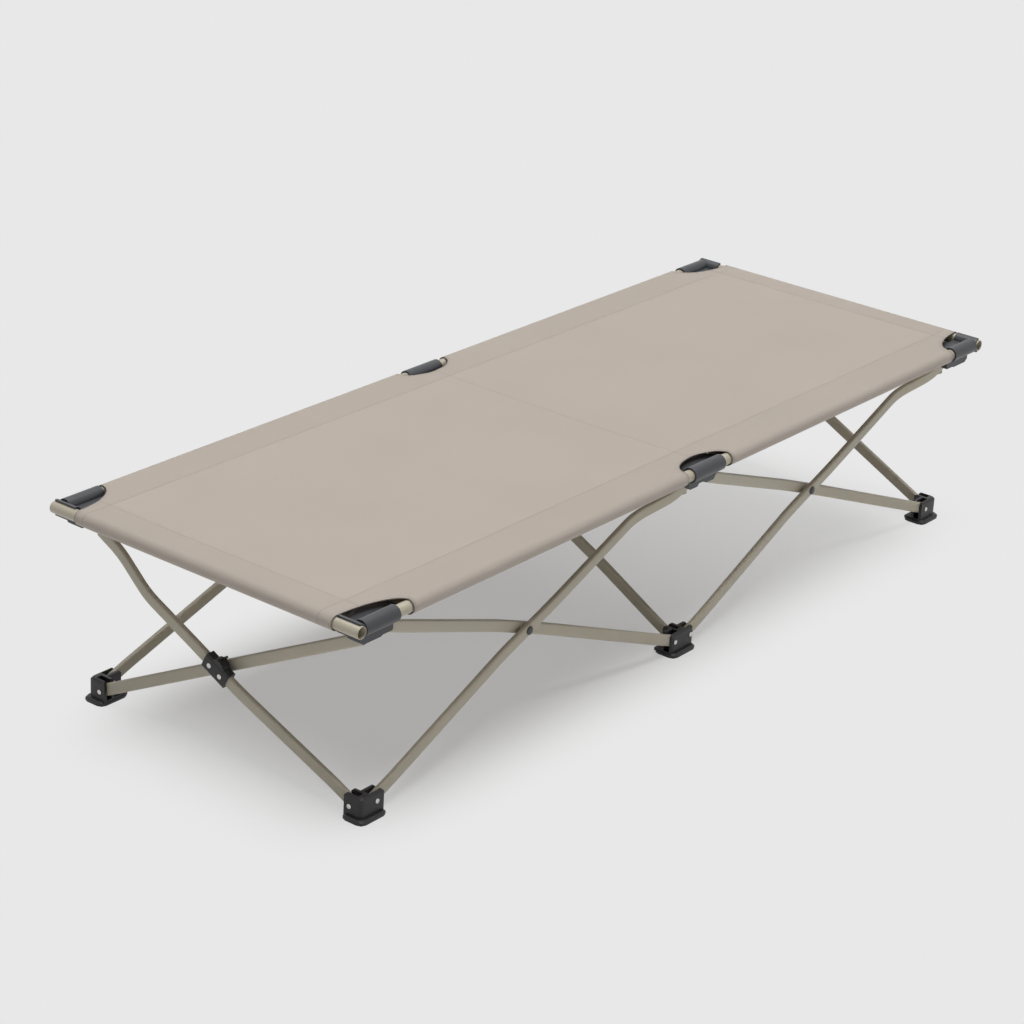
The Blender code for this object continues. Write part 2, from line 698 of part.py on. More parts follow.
# Side struts: on the head half the strut from the corner foot passes outside its partner, and on the
# tail half the strut from the middle foot does, so every rising strut towards the tail is outermost
for side in (FRONT, BACK):
    name = SIDE_NAMES[side]
    for end in (HEAD, TAIL):
        half = f"{name}_{END_NAMES[end]}"
        from_corner_outer = end == HEAD
        corner = end * SIDE_CORNER_X
        middle = end * SIDE_MIDDLE_X
        strut(
            f"{half}_strut_from_corner",
            f"{half}_strut_from_corner",
            (corner, 0, SIDE_FOOT_Z),
            (middle, 0, SIDE_TOP_Z),
            1,
            side_knots(side, from_corner_outer),
            0.5,
            False,
        )
        strut(
            f"{half}_strut_from_middle",
            f"{half}_strut_from_middle",
            (middle, 0, SIDE_FOOT_Z),
            (corner, 0, SIDE_TOP_Z),
            1,
            side_knots(side, not from_corner_outer),
            0.0,
            False,
        )
        hub_y = side * (SIDE_OUTER_HUB_Y - SIDE_HUB_STEP / 2)
        hub_pin(
            f"{half}_hub_pin",
            f"{half}_strut_from_middle",
            (end * SIDE_HUB_X, hub_y, SIDE_HUB_Z),
            (0, side, 0),
            SIDE_HUB_STEP,
        )

# Cross struts
for end in (HEAD, 0, TAIL):
    label = END_NAMES.get(end, "middle")
    for start in (FRONT, BACK):
        origin = 0.0 if start == FRONT else 0.5
        if end:
            knots = end_cross_knots(end, (start == FRONT) == (end == HEAD))
        else:
            knots = middle_cross_knots(-start)
        name = f"{label}_cross_strut_from_{SIDE_NAMES[start]}"
        strut(
            name,
            name,
            (0, start * CROSS_Y, CROSS_FOOT_Z),
            (0, -start * CROSS_Y, CROSS_TOP_Z),
            0,
            knots,
            origin,
            True,
        )

knuckle = knuckle_mesh()
for end in (HEAD, TAIL):
    label = END_NAMES[end]
    outer_from = FRONT if end == HEAD else BACK
    carrier = f"{label}_cross_strut_from_{SIDE_NAMES[outer_from]}"
    run = Vector((0, -outer_from * 2 * CROSS_Y, CROSS_TOP_Z - CROSS_FOOT_Z)).normalized()
    side_axis = Vector((end, 0, 0))
    turn = Matrix((run, side_axis, run.cross(side_axis))).transposed()
    hub = (end * CROSS_OUTER_HUB_X, 0, CROSS_HUB_Z)
    piece(f"{label}_knuckle_bracket", knuckle, "plastic", carrier, hub, turn)
    face = Vector(hub) + side_axis * (STRUT_THICKNESS / 2 + GAP + KNUCKLE_WALL)
    for place, way in (("lower", -1), ("upper", 1)):
        at = face + run * (way * KNUCKLE_RIVET_PITCH / 2)
        rivet(f"{label}_knuckle_{place}_rivet", carrier, at, KNUCKLE_RIVET_DEPTH, side_axis)
    shell = KNUCKLE_WALL + GAP
    hub_pin(
        f"{label}_cross_hub_pin",
        f"{label}_cross_strut_from_front",
        (end * (CROSS_OUTER_HUB_X - CROSS_HUB_STEP / 2), 0, CROSS_HUB_Z),
        (end, 0, 0),
        CROSS_HUB_STEP,
        shell,
    )
hub_pin(
    "middle_cross_hub_pin",
    "middle_cross_strut_from_front",
    (0, 0, CROSS_HUB_Z),
    (1, 0, 0),
    2 * MIDDLE_CROSS_X,
)

# Feet and their rivets
corner_foot, corner_u, corner_v = corner_foot_mesh()
middle_foot, middle_v = middle_foot_mesh()
side_depth = corner_v[1] - (SIDE_FOOT_Y - SLOT_HALF - FOOT_INNER_WALL + 0.001)
cross_depth = corner_u[1] - (CROSS_FOOT_X - SLOT_HALF - FOOT_INNER_WALL + 0.001)
for side in (FRONT, BACK):
    name = SIDE_NAMES[side]
    piece(f"middle_{name}_foot", middle_foot, "plastic", f"middle_{name}_foot", scale=(1, side, 1))
    for end in (HEAD, TAIL):
        label = END_NAMES[end]
        foot = f"{label}_{name}_foot"
        piece(foot, corner_foot, "plastic", foot, scale=(end, side, 1))
        at = (end * SIDE_CORNER_X, side * corner_v[1], SIDE_FOOT_Z)
        rivet(f"{foot}_side_rivet", foot, at, side_depth, (0, side, 0))
        at = (end * corner_u[1], side * CROSS_Y, CROSS_FOOT_Z)
        rivet(f"{foot}_cross_rivet", foot, at, cross_depth, (end, 0, 0))
        at = (end * SIDE_MIDDLE_X, side * middle_v[1], SIDE_FOOT_Z)
        rivet(f"middle_{name}_foot_{label}_rivet", f"middle_{name}_foot", at, side_depth, (0, side, 0))

# Connectors
corner_connector = corner_connector_mesh()
for side in (FRONT, BACK):
    name = SIDE_NAMES[side]
    for end in (HEAD, TAIL):
        connector = f"{END_NAMES[end]}_{name}_connector"
        piece(connector, corner_connector, "plastic", connector, scale=(end, side, 1))
    connector = f"middle_{name}_connector"
    piece(connector, middle_connector_mesh(side), "plastic", connector, scale=(1, side, 1))
    for end in (HEAD, TAIL):
        inside = 0.0005
        centre = (end * (RAIL_END + inside) / 2, side * RAIL_Y, RAIL_Z)
        tube(f"{name}_rail_{END_NAMES[end]}", connector, centre, 0, RAIL_END - inside)

HEM_INNER = TUBE_RADIUS + HEM_CLEARANCE
HEM_OUTER = HEM_INNER + FABRIC
for end in (HEAD, TAIL):
    length = 2 * (RAIL_Y + HEM_OUTER + END_BAR_PAST_HEM)
    tube(f"{END_NAMES[end]}_end_bar", "middle_front_connector", (end * END_BAR_X, 0, RAIL_Z), 1, length)


# Fabric sling
def ellipse(cx, cy, a, b, steps=16):
    turns = [2 * math.pi * i / steps for i in range(steps)]
    return [(cx + a * math.cos(t), cy + b * math.sin(t)) for t in turns]


def sling_mesh():
    """A flat panel tangent to the tubes, hemmed round rails and end bars, with a half-moon cut at each connector."""
    top = RAIL_Z + HEM_OUTER - HEM_TANGENT
    rail_hem = 2 * (END_BAR_X - CORNER_CUT_X / 2)
    end_hem = 2 * (RAIL_Y - CORNER_CUT_Y / 2)
    panel = box((-END_BAR_X, -RAIL_Y, top - FABRIC), (END_BAR_X, RAIL_Y, top))
    hems = []
    bores = []
    for way in (-1, 1):
        rail = (0, way * RAIL_Y, RAIL_Z)
        bar = (way * END_BAR_X, 0, RAIL_Z)
        hems.append(rod(rail, 0, HEM_OUTER, rail_hem, SIDES))
        hems.append(rod(bar, 1, HEM_OUTER, end_hem, SIDES))
        bores.append(rod(rail, 0, HEM_INNER, rail_hem + CUT_PAST, SIDES))
        bores.append(rod(bar, 1, HEM_INNER, end_hem + CUT_PAST, SIDES))
    cuts = []
    through = (RAIL_Z - CUT_PAST, RAIL_Z + CUT_PAST)
    for side in (-1, 1):
        cut_y = side * (RAIL_Y + CUT_CENTRE_OUT)
        cuts.append(prism(ellipse(0, cut_y, MIDDLE_CUT_X, MIDDLE_CUT_Y), 2, *through))
        for end in (-1, 1):
            cut_x = end * (END_BAR_X + CUT_CENTRE_OUT)
            cuts.append(prism(ellipse(cut_x, cut_y, CORNER_CUT_X, CORNER_CUT_Y), 2, *through))
    return combine(panel, hems, [*bores, *cuts])


piece("fabric_sling", sling_mesh(), "fabric", "middle_front_connector")
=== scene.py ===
# %% [markdown]
# # A folding camp bed in a pale studio
# The bed is a taut sheet of woven polyester held on two split side rails and two end bars.
# Seven scissors of flat-oval steel tube carry it, three across the bed and two along each side, with
# moulded feet below and moulded connectors above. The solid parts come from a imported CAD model. This
# script keeps their places and gives each one the smooth surface and the finish that the eye sees:
# swept tubes, turned rivets, rounded mouldings and cloth.

import json
import math

import bmesh
import bpy
import numpy as np
from mathutils import Matrix, Vector


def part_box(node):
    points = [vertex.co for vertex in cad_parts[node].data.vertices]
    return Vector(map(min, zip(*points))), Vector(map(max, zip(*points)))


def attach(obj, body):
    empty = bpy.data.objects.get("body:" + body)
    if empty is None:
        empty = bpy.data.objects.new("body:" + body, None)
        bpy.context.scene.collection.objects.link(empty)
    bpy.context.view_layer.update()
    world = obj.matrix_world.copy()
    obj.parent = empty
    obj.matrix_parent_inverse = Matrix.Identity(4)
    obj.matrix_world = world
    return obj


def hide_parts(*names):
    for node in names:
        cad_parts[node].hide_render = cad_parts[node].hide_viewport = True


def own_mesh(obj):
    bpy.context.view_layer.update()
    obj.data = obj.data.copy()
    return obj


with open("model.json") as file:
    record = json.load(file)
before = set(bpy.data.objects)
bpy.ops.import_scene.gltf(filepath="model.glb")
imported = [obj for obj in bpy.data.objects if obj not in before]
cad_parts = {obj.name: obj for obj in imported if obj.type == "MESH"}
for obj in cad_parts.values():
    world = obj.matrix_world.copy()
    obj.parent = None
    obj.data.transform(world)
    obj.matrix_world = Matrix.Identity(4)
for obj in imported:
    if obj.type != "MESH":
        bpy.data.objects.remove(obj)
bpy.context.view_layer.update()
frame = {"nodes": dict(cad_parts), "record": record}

# %% [markdown]
# ## Sizes
# Everything is in metres, in the frame of the CAD model: X runs along the bed, Y across it and Z up.
# The pieces repeat a few sizes of the model, so that they are made where its solids are.

# %% Sizes
END_BAR_X = 0.950
RAIL_Y = 0.337
RAIL_Z = 0.376
TUBE_RADIUS = 0.011
TUBE_WALL = 0.0012
RAIL_SEAM = 0.070
END_SEAM = 0.050

STRUT_WIDTH = 0.022
STRUT_THICKNESS = 0.011
STRUT_CORNER = 0.0040
STRUT_PAST_PIVOT = 0.008
CROSS_PAST_TOP = 0.008

SIDE_CORNER_X = 0.862
SIDE_MIDDLE_X = 0.024
SIDE_FOOT_Z = 0.029
SIDE_TOP_Z = 0.349
CROSS_Y = 0.293
CROSS_FOOT_Z = 0.024
CROSS_TOP_Z = 0.325

ENDS = {"head": -1, "tail": 1}
SIDES = {"front": -1, "back": 1}
print("length over the end bars", round(2 * (END_BAR_X + TUBE_RADIUS), 3))

# %% [markdown]
# ## Surfaces from grids
# Most pieces here are a grid of points worked out by a formula, joined into quads. Curve objects with a
# bevel could make the tubes as well, but a grid shows how a surface is built, and it leaves each section
# and each rim under control. A grid can close on itself along its rows, its columns or both. Poles, where
# a whole row falls on one point, are welded, and the faces are then turned to point outwards.


# %% Grid helpers
def quads(rows, columns, close_rows=False, close_columns=False, first=0):
    """The four corners of each cell of a grid whose point (i, j) has the index first + i * columns + j."""
    i = np.arange(rows if close_rows else rows - 1)[:, None]
    j = np.arange(columns if close_columns else columns - 1)[None, :]
    down, right = (i + 1) % rows, (j + 1) % columns
    corners = [i * columns + j, i * columns + right, down * columns + right, down * columns + j]
    return first + np.stack(np.broadcast_arrays(*corners), -1).reshape(-1, 4)


def mesh_of(name, points, faces, outward=True, sharp=40):
    """A smooth mesh from points and faces, with doubled points welded and edges over sharp degrees kept."""
    mesh = bpy.data.meshes.new(name)
    mesh.from_pydata(np.asarray(points, float).reshape(-1, 3), [], np.asarray(faces).tolist())
    bm = bmesh.new()
    bm.from_mesh(mesh)
    bmesh.ops.remove_doubles(bm, verts=bm.verts, dist=2e-6)
    if outward:
        bmesh.ops.recalc_face_normals(bm, faces=bm.faces)
    bm.to_mesh(mesh)
    bm.free()
    mesh.shade_smooth()
    mesh.set_sharp_from_angle(angle=math.radians(sharp))
    return mesh


def show(name, mesh, body, material, stands_for=()):
    """Puts a mesh in the scene as a piece that moves with a body and stands for CAD nodes."""
    piece = bpy.data.objects.new(name, mesh)
    bpy.context.scene.collection.objects.link(piece)
    piece.data.materials.append(material)
    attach(piece, body)
    if stands_for:
        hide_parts(*stands_for)
    return piece


bodies = frame["record"]["behaviour"]["bodies"]
body_of_node = {node: body for body, nodes in bodies.items() for node in nodes}

# %% [markdown]
# ## Finishes
# Each effect is a node group with its own inputs, so that a material places it with its own values: a slow
# drift of tone, which no painted or moulded surface is free of, a fine grain for the bump, and a woven
# pattern for cloth. An image could do this too, but it would have to be painted and unwrapped for every
# piece. These read Object coordinates, or the cloth's own UV map in metres.


# %% Node helpers
def srgb(red, green, blue):
    """A colour read off a screen, 0 to 255, as the linear values that a shader wants."""
    c = np.array([red, green, blue]) / 255
    linear = np.where(c <= 0.04045, c / 12.92, ((c + 0.055) / 1.055) ** 2.4)
    return (*linear.tolist(), 1.0)


class Nodes:
    """Short calls for placing and linking nodes in one tree."""

    def __init__(self, tree):
        self.tree = tree

    def add(self, kind, inputs=None, **settings):
        node = self.tree.nodes.new(kind)
        for key, value in settings.items():
            setattr(node, key, value)
        for key, value in (inputs or {}).items():
            if isinstance(value, bpy.types.NodeSocket):
                self.tree.links.new(value, node.inputs[key])
            else:
                node.inputs[key].default_value = value
        return node

    def maths(self, operation, *values):
        return self.add("ShaderNodeMath", dict(enumerate(values)), operation=operation).outputs[0]

    def ramp(self, value, low, high, to_low=0.0, to_high=1.0):
        node = self.add("ShaderNodeMapRange", {0: value, 1: low, 2: high, 3: to_low, 4: to_high})
        return node.outputs[0]


def group(name, inputs, outputs):
    """An empty node group with named sockets: (name, kind, default) in and (name, kind) out."""
    tree = bpy.data.node_groups.new(name, "ShaderNodeTree")
    for label, kind, default in inputs:
        socket = tree.interface.new_socket(label, in_out="INPUT", socket_type=kind)
        if default is not None:
            socket.default_value = default
    for label, kind in outputs:
        tree.interface.new_socket(label, in_out="OUTPUT", socket_type=kind)
    return tree, Nodes(tree)


FLOAT, COLOUR, VECTOR = "NodeSocketFloat", "NodeSocketColor", "NodeSocketVector"

# %% Tone drift: a colour that grows a little lighter and darker over the surface
drift, n = group(
    "tone_drift",
    [("Colour", COLOUR, None), ("Place", VECTOR, None), ("Size", FLOAT, 8.0), ("Amount", FLOAT, 0.1)],
    [("Colour", COLOUR), ("Mask", FLOAT)],
)
come = n.add("NodeGroupInput")
cloud = n.add(
    "ShaderNodeTexNoise",
    {"Vector": come.outputs["Place"], "Scale": come.outputs["Size"], "Detail": 4.0, "Roughness": 0.55},
)
mask = n.ramp(cloud.outputs[0], 0.3, 0.7)
swing = n.maths("MULTIPLY", n.maths("SUBTRACT", mask, 0.5), come.outputs["Amount"])
value = n.maths("ADD", 1.0, swing)
tone = n.add("ShaderNodeHueSaturation", {"Value": value, "Color": come.outputs["Colour"]})
n.add("NodeGroupOutput", {"Colour": tone.outputs[0], "Mask": mask})

# %% Grain: two sizes of bumps in one height
grain, n = group(
    "fine_grain",
    [("Place", VECTOR, None), ("Coarse", FLOAT, 60.0), ("Fine", FLOAT, 900.0), ("Share", FLOAT, 0.5)],
    [("Height", FLOAT)],
)
come = n.add("NodeGroupInput")
noises = []
for size, detail in (("Coarse", 2.0), ("Fine", 3.0)):
    settings = {"Vector": come.outputs["Place"], "Scale": come.outputs[size], "Detail": detail}
    noises.append(n.add("ShaderNodeTexNoise", settings).outputs[0])
height = n.add("ShaderNodeMix", {0: come.outputs["Share"], 2: noises[0], 3: noises[1]}, data_type="FLOAT")
n.add("NodeGroupOutput", {"Height": height.outputs[0]})

# %% Weave: plain cloth, warp over weft, on a UV map in metres
weave, n = group(
    "plain_weave",
    [("Place", VECTOR, None), ("Threads", FLOAT, 900.0)],
    [("Height", FLOAT), ("Gap", FLOAT)],
)
come = n.add("NodeGroupInput")
scaled = n.add("ShaderNodeVectorMath", {0: come.outputs["Place"]}, operation="SCALE")
n.tree.links.new(come.outputs["Threads"], scaled.inputs["Scale"])
part = n.add("ShaderNodeSeparateXYZ", {0: scaled.outputs[0]})
across = n.maths("SINE", n.maths("MULTIPLY", part.outputs["X"], math.pi))
along = n.maths("SINE", n.maths("MULTIPLY", part.outputs["Y"], math.pi))
over = n.maths("GREATER_THAN", n.maths("MULTIPLY", across, along), 0.0)
warp = n.maths("ABSOLUTE", across)
weft = n.maths("ABSOLUTE", along)
crown = n.add("ShaderNodeMix", {0: over, 2: warp, 3: weft}, data_type="FLOAT").outputs[0]
low_spot = n.maths("SUBTRACT", 1.0, n.maths("MAXIMUM", warp, weft))
n.add("NodeGroupOutput", {"Height": crown, "Gap": low_spot})

# %% [markdown]
# The frame is mild steel under a satin taupe powder coat, which has a fine orange peel. The feet and the
# brackets are nylon painted nearly black, as painted shade for the shade they stand in under the bed, and
# the connectors are nylon painted dark grey, as painted light where the light falls on them, all with the
# grain of a spark-eroded mould. Rivets are bright plated steel. One function makes these four, because they
# differ only
# in values: a colour, the drift of its tone, a roughness at each end of that drift, and the grain.


# %% Materials
def material(name):
    """A material with its helper, its shader and its texture coordinates."""
    made = bpy.data.materials.new(name)
    made.use_nodes = True
    tree = Nodes(made.node_tree)
    shader = made.node_tree.nodes["Principled BSDF"]
    place = tree.add("ShaderNodeTexCoord")
    return made, tree, shader, place


def use(tree, node_group, **inputs):
    """Places a node group in a material, with values or links for its inputs."""
    node = tree.add("ShaderNodeGroup", node_tree=node_group)
    for key, value in inputs.items():
        if isinstance(value, bpy.types.NodeSocket):
            tree.tree.links.new(value, node.inputs[key])
        else:
            node.inputs[key].default_value = value
    return node


def bump(tree, shader, height, distance):
    """Turns a height into small changes of the surface's normal, distance metres deep at a height of 1."""
    node = tree.add("ShaderNodeBump", {"Height": height, "Distance": distance, "Strength": 1.0})
    tree.tree.links.new(node.outputs[0], shader.inputs["Normal"])


def coated(name, colour, tone, roughness, grains, depth, metallic=0.0, specular=0.5):
    """A solid finish. tone is the drift's (Size, Amount), grains is the grain's (Coarse, Fine, Share)."""
    made, tree, shader, place = material(name)
    spot = place.outputs["Object"]
    tones = use(tree, drift, Colour=colour, Place=spot, Size=tone[0], Amount=tone[1])
    tree.tree.links.new(tones.outputs["Colour"], shader.inputs["Base Color"])
    rough = tree.ramp(tones.outputs["Mask"], 0.0, 1.0, *roughness)
    tree.tree.links.new(rough, shader.inputs["Roughness"])
    heights = use(tree, grain, Place=spot, Coarse=grains[0], Fine=grains[1], Share=grains[2])
    bump(tree, shader, heights.outputs["Height"], depth)
    shader.inputs["Metallic"].default_value = metallic
    shader.inputs["Specular IOR Level"].default_value = specular
    return made


MOULD_TONE = (14.0, 0.16)
MOULD_GRAIN = (700.0, 2600.0, 0.6)
steel = coated(
    "powder_coat",
    srgb(185, 177, 158),
    tone=(9.0, 0.08),
    roughness=(0.36, 0.44),
    grains=(420.0, 1500.0, 0.3),
    depth=0.00012,
)
# Two copies of one dark nylon: this one carries painted shade for the feet and brackets, the next one
# painted light for the connectors.
plastic_with_painted_shade = coated(
    "nylon_with_painted_shade", srgb(38, 37, 40), MOULD_TONE, (0.34, 0.46), MOULD_GRAIN, depth=0.00010, specular=0.4
)
plastic_with_painted_light = coated("nylon_with_painted_light", srgb(62, 63, 67), MOULD_TONE, (0.30, 0.42), MOULD_GRAIN, depth=0.00010)
metal = coated(
    "plated_steel",
    srgb(205, 202, 198),
    tone=(60.0, 0.12),
    roughness=(0.22, 0.34),
    grains=(900.0, 3000.0, 0.5),
    depth=0.00003,
    metallic=1.0,
)

# %% [markdown]
# The cloth is a dense polyester weave with a soft sheen, and painted shade in the gaps between its threads.
# The doubled bands outside the seams look a touch darker too. The sewing could be modelled thread by
# thread, but from any usual distance it is only a thin line of dashes, so the material draws it.
# Its UV map "cloth" holds the place on the bed in metres, and "trim" how far the cut edge is.

# %% Cloth
RAIL_SEAM_V = RAIL_Y - RAIL_SEAM
END_SEAM_U = END_BAR_X - END_SEAM
STITCHES_PER_METRE = 240.0
THREADS_PER_METRE = 1100.0


def either(tree, masks):
    """The largest of several masks."""
    whole = masks[0]
    for mask in masks[1:]:
        whole = tree.maths("MAXIMUM", whole, mask)
    return whole


def cloth_material(name, colour):
    """Woven cloth with its sewing: doubled bands outside the seams, rows of stitches and bound edges, with
    painted shade in the gaps between threads, along each seam's groove and along the cut edge.
    """
    made, tree, shader, place = material(name)
    spot = place.outputs["Object"]
    uv, edge = (tree.add("ShaderNodeUVMap", uv_map=layer).outputs[0] for layer in ("cloth", "trim"))
    part = tree.add("ShaderNodeSeparateXYZ", {0: uv})
    u, v = part.outputs["X"], part.outputs["Y"]
    stitches, painted_seam_shades, bands = [], [], []
    for along, across, seam in ((u, v, RAIL_SEAM_V), (v, u, END_SEAM_U), (v, u, 0.0)):
        distance = tree.maths("ABSOLUTE", across)
        off = tree.maths("ABSOLUTE", tree.maths("SUBTRACT", distance, seam))
        thread = tree.ramp(off, 0.0006, 0.0014, 1.0, 0.0)
        beat = tree.maths("FRACT", tree.maths("MULTIPLY", along, STITCHES_PER_METRE))
        stitches.append(tree.maths("MULTIPLY", thread, tree.maths("GREATER_THAN", beat, 0.25)))
        # Painted shade in each seam's groove, fading over 4 mm to each side of the stitched line.
        painted_seam_shades.append(tree.ramp(off, 0.0, 0.004, 1.0, 0.0))
        if seam:
            bands.append(tree.maths("GREATER_THAN", distance, seam))
    trim = tree.add("ShaderNodeSeparateXYZ", {0: edge}).outputs["X"]
    binding = tree.ramp(trim, 0.0075, 0.0085, 1.0, 0.0)
    # Painted shade along the cut edge, darkest at the edge and gone about 2 mm in.
    rim = tree.ramp(trim, 0.0008, 0.0022, 1.0, 0.0)
    tones = use(tree, drift, Colour=colour, Place=spot, Size=3.5, Amount=0.05)
    threads = use(tree, weave, Place=uv, Threads=THREADS_PER_METRE)
    # Painted shade in the gaps between the threads.
    shade = tree.ramp(threads.outputs["Gap"], 0.0, 0.7, 1.0, 0.86)
    darkenings = (
        (either(tree, bands), 0.05),
        (either(tree, painted_seam_shades), 0.06),
        (either(tree, stitches), 0.12),
        (binding, 0.05),
        (rim, 0.55),
    )
    for mask, darker in darkenings:
        kept = tree.maths("SUBTRACT", 1.0, tree.maths("MULTIPLY", mask, darker))
        shade = tree.maths("MULTIPLY", shade, kept)
    base = tree.add("ShaderNodeHueSaturation", {"Value": shade, "Color": tones.outputs["Colour"]})
    tree.tree.links.new(base.outputs[0], shader.inputs["Base Color"])
    shader.inputs["Roughness"].default_value = 0.78
    shader.inputs["Sheen Weight"].default_value = 0.12
    shader.inputs["Sheen Roughness"].default_value = 0.4
    crease = use(tree, grain, Place=spot, Coarse=28.0, Fine=160.0, Share=0.3)
    height = threads.outputs["Height"]
    for raised, times in ((crease.outputs["Height"], 4.0), (binding, 3.0)):
        height = tree.maths("ADD", height, tree.maths("MULTIPLY", raised, times))
    bump(tree, shader, height, 0.00012)
    return made


cloth = cloth_material("polyester", srgb(191, 180, 169))
print("materials", [m.name for m in bpy.data.materials if m.users])

# %% [markdown]
# ## Flat-oval struts
# A strut is a steel tube rolled to a rounded rectangle. It is straight in the plane of its scissor, and
# set over sideways where it passes its partner, in the foot and in the connector. A straight bar bent
# with a modifier would change its length, so its section is carried along a broken line whose corners
# are eased, and the inside of the wall is the same sweep, smaller.


# %% Sweeps
def rounded_section(width, thickness, corner, steps=6):
    """Points of a rounded rectangle: quarter circles of radius corner about its four corner centres."""
    turn = np.linspace(0, math.pi / 2, steps + 1)
    turns = np.concatenate([turn + k * math.pi / 2 for k in range(4)])
    signs = np.repeat(np.array([(1, 1), (-1, 1), (-1, -1), (1, -1)]), steps + 1, axis=0)
    centres = signs * (width / 2 - corner, thickness / 2 - corner)
    return centres + corner * np.stack([np.cos(turns), np.sin(turns)], -1)


def eased(at, knots, values, reach):
    """A broken line through the knots, averaged over reach to each side, which rounds its bends."""
    window = np.linspace(-reach, reach, 21)
    return np.interp(at[:, None] + window, knots, values).mean(axis=1)


BEND_REACH = 0.022
STRUT_STATIONS = 180
CAP_ROUND = ((0.0012, 0.0), (0.0004, 0.0003), (0.0, 0.0012))
CAP_DEPTH = 0.002


def strut_mesh(name, foot, top, thin, knots, past_top, capped):
    """A strut from pivot foot to pivot top. knots are (share of its length, sideways place along thin).

    The section goes down the outside and back up the inside. An open top joins the two. A capped one
    draws the outside in to a point over a rounded rim, and the inside to a point a little below it.
    """
    foot, top, thin = np.array(foot, float), np.array(top, float), np.array(thin, float)
    length = np.linalg.norm(top - foot)
    run = (top - foot) / length
    broad = np.cross(run, thin)
    stations = np.linspace(length + past_top, -STRUT_PAST_PIVOT, STRUT_STATIONS)
    shares, places = np.array(knots).T
    offset = eased(stations, shares * length, places, BEND_REACH)
    centres = foot + stations[:, None] * run + offset[:, None] * thin

    def rings(shrink, middles):
        width, thickness = STRUT_WIDTH - 2 * shrink, STRUT_THICKNESS - 2 * shrink
        outline = rounded_section(width, thickness, max(STRUT_CORNER - shrink, 2e-4))
        return middles[:, None] + outline[None, :, :1] * broad + outline[None, :, 1:] * thin

    outside = rings(0.0, centres)
    inside = rings(TUBE_WALL, centres[::-1])
    if capped:
        rim = [rings(shrink, centres[:1] - down * run) for shrink, down in CAP_ROUND]
        pole = np.broadcast_to(centres[0], outside[:1].shape)
        inside = inside[:-1]
        inside[-1] -= CAP_DEPTH * run
        inner_pole = np.broadcast_to(inside[-1].mean(axis=0), pole.shape)
        outside = np.concatenate([pole, *rim, outside[1:]])
        inside = np.concatenate([inside, inner_pole])
    points = np.concatenate([outside, inside])
    return mesh_of(name, points, quads(len(points), points.shape[1], not capped, True))


# %% [markdown]
# The sideways places follow from what each strut passes: its foot's slot, the hub pin half way, the bend
# below the top and the connector's slot. In each table the row True is for the strut that passes outside
# its partner. At the head half of a side that is the one from the corner foot, at the tail half the one
# from the middle foot.

# %% Struts
SIDE_FOOT = [(0, 0.308), (0.045, 0.308)]
SIDE_TOP = [(0.955, 0.316), (1, 0.316)]
SIDE_STOPS = {
    True: [*SIDE_FOOT, (0.42, 0.291), (0.58, 0.291), (0.865, 0.285), *SIDE_TOP],
    False: [*SIDE_FOOT, (0.42, 0.2765), (0.58, 0.2765), *SIDE_TOP],
}
CROSS_FOOT = [(0, 0.889), (0.06, 0.889)]
CROSS_TOP = [(0.93, 0.889), (1, 0.889)]
CROSS_STOPS = {
    True: [*CROSS_FOOT, (0.42, 0.908), (0.58, 0.908), (0.78, 0.911), *CROSS_TOP],
    False: [*CROSS_FOOT, (0.42, 0.888), (0.58, 0.888), *CROSS_TOP],
}
MIDDLE_STOPS = [(0, 0.0), (0.06, 0.0), (0.3, 0.0075), (1, 0.0075)]


def stops(table, way):
    """The stops of a strut on one side of the bed: every sideways place times way."""
    return [(share, way * place) for share, place in table]


def strut(name, foot, top, thin, knots, past_top=STRUT_PAST_PIVOT, capped=False):
    """Makes a strut and shows it in place of its solid."""
    mesh = strut_mesh(name, foot, top, thin, knots, past_top, capped)
    return show(name + "_tube", mesh, body_of_node[name], steel, [name])


for side, way in SIDES.items():
    for end, out in ENDS.items():
        corner_outside = end == "head"
        low, high = (0, SIDE_FOOT_Z), (0, SIDE_TOP_Z)
        strut(
            f"{side}_{end}_strut_from_corner",
            (out * SIDE_CORNER_X, *low),
            (out * SIDE_MIDDLE_X, *high),
            (0, 1, 0),
            stops(SIDE_STOPS[corner_outside], way),
        )
        strut(
            f"{side}_{end}_strut_from_middle",
            (out * SIDE_MIDDLE_X, *low),
            (out * SIDE_CORNER_X, *high),
            (0, 1, 0),
            stops(SIDE_STOPS[not corner_outside], way),
        )
for place, out in (("head", -1), ("middle", 0), ("tail", 1)):
    for side, way in SIDES.items():
        if out:
            outboard = (side == "front") == (place == "head")
            knots = stops(CROSS_STOPS[outboard], out)
        else:
            knots = stops(MIDDLE_STOPS, -way)
        strut(
            f"{place}_cross_strut_from_{side}",
            (0, way * CROSS_Y, CROSS_FOOT_Z),
            (0, -way * CROSS_Y, CROSS_TOP_Z),
            (1, 0, 0),
            knots,
            CROSS_PAST_TOP,
            capped=True,
        )
print("struts made")

# %% [markdown]
# ## Round tubes and turned pins
# Rails, end bars, rivets and hub pins are all profiles turned about a line, as a lathe or a drawing die
# would shape them. A profile that starts and ends on the line closes at its poles. A tube's profile is a
# loop, out along its skin and back inside, so that its open end shows a wall.


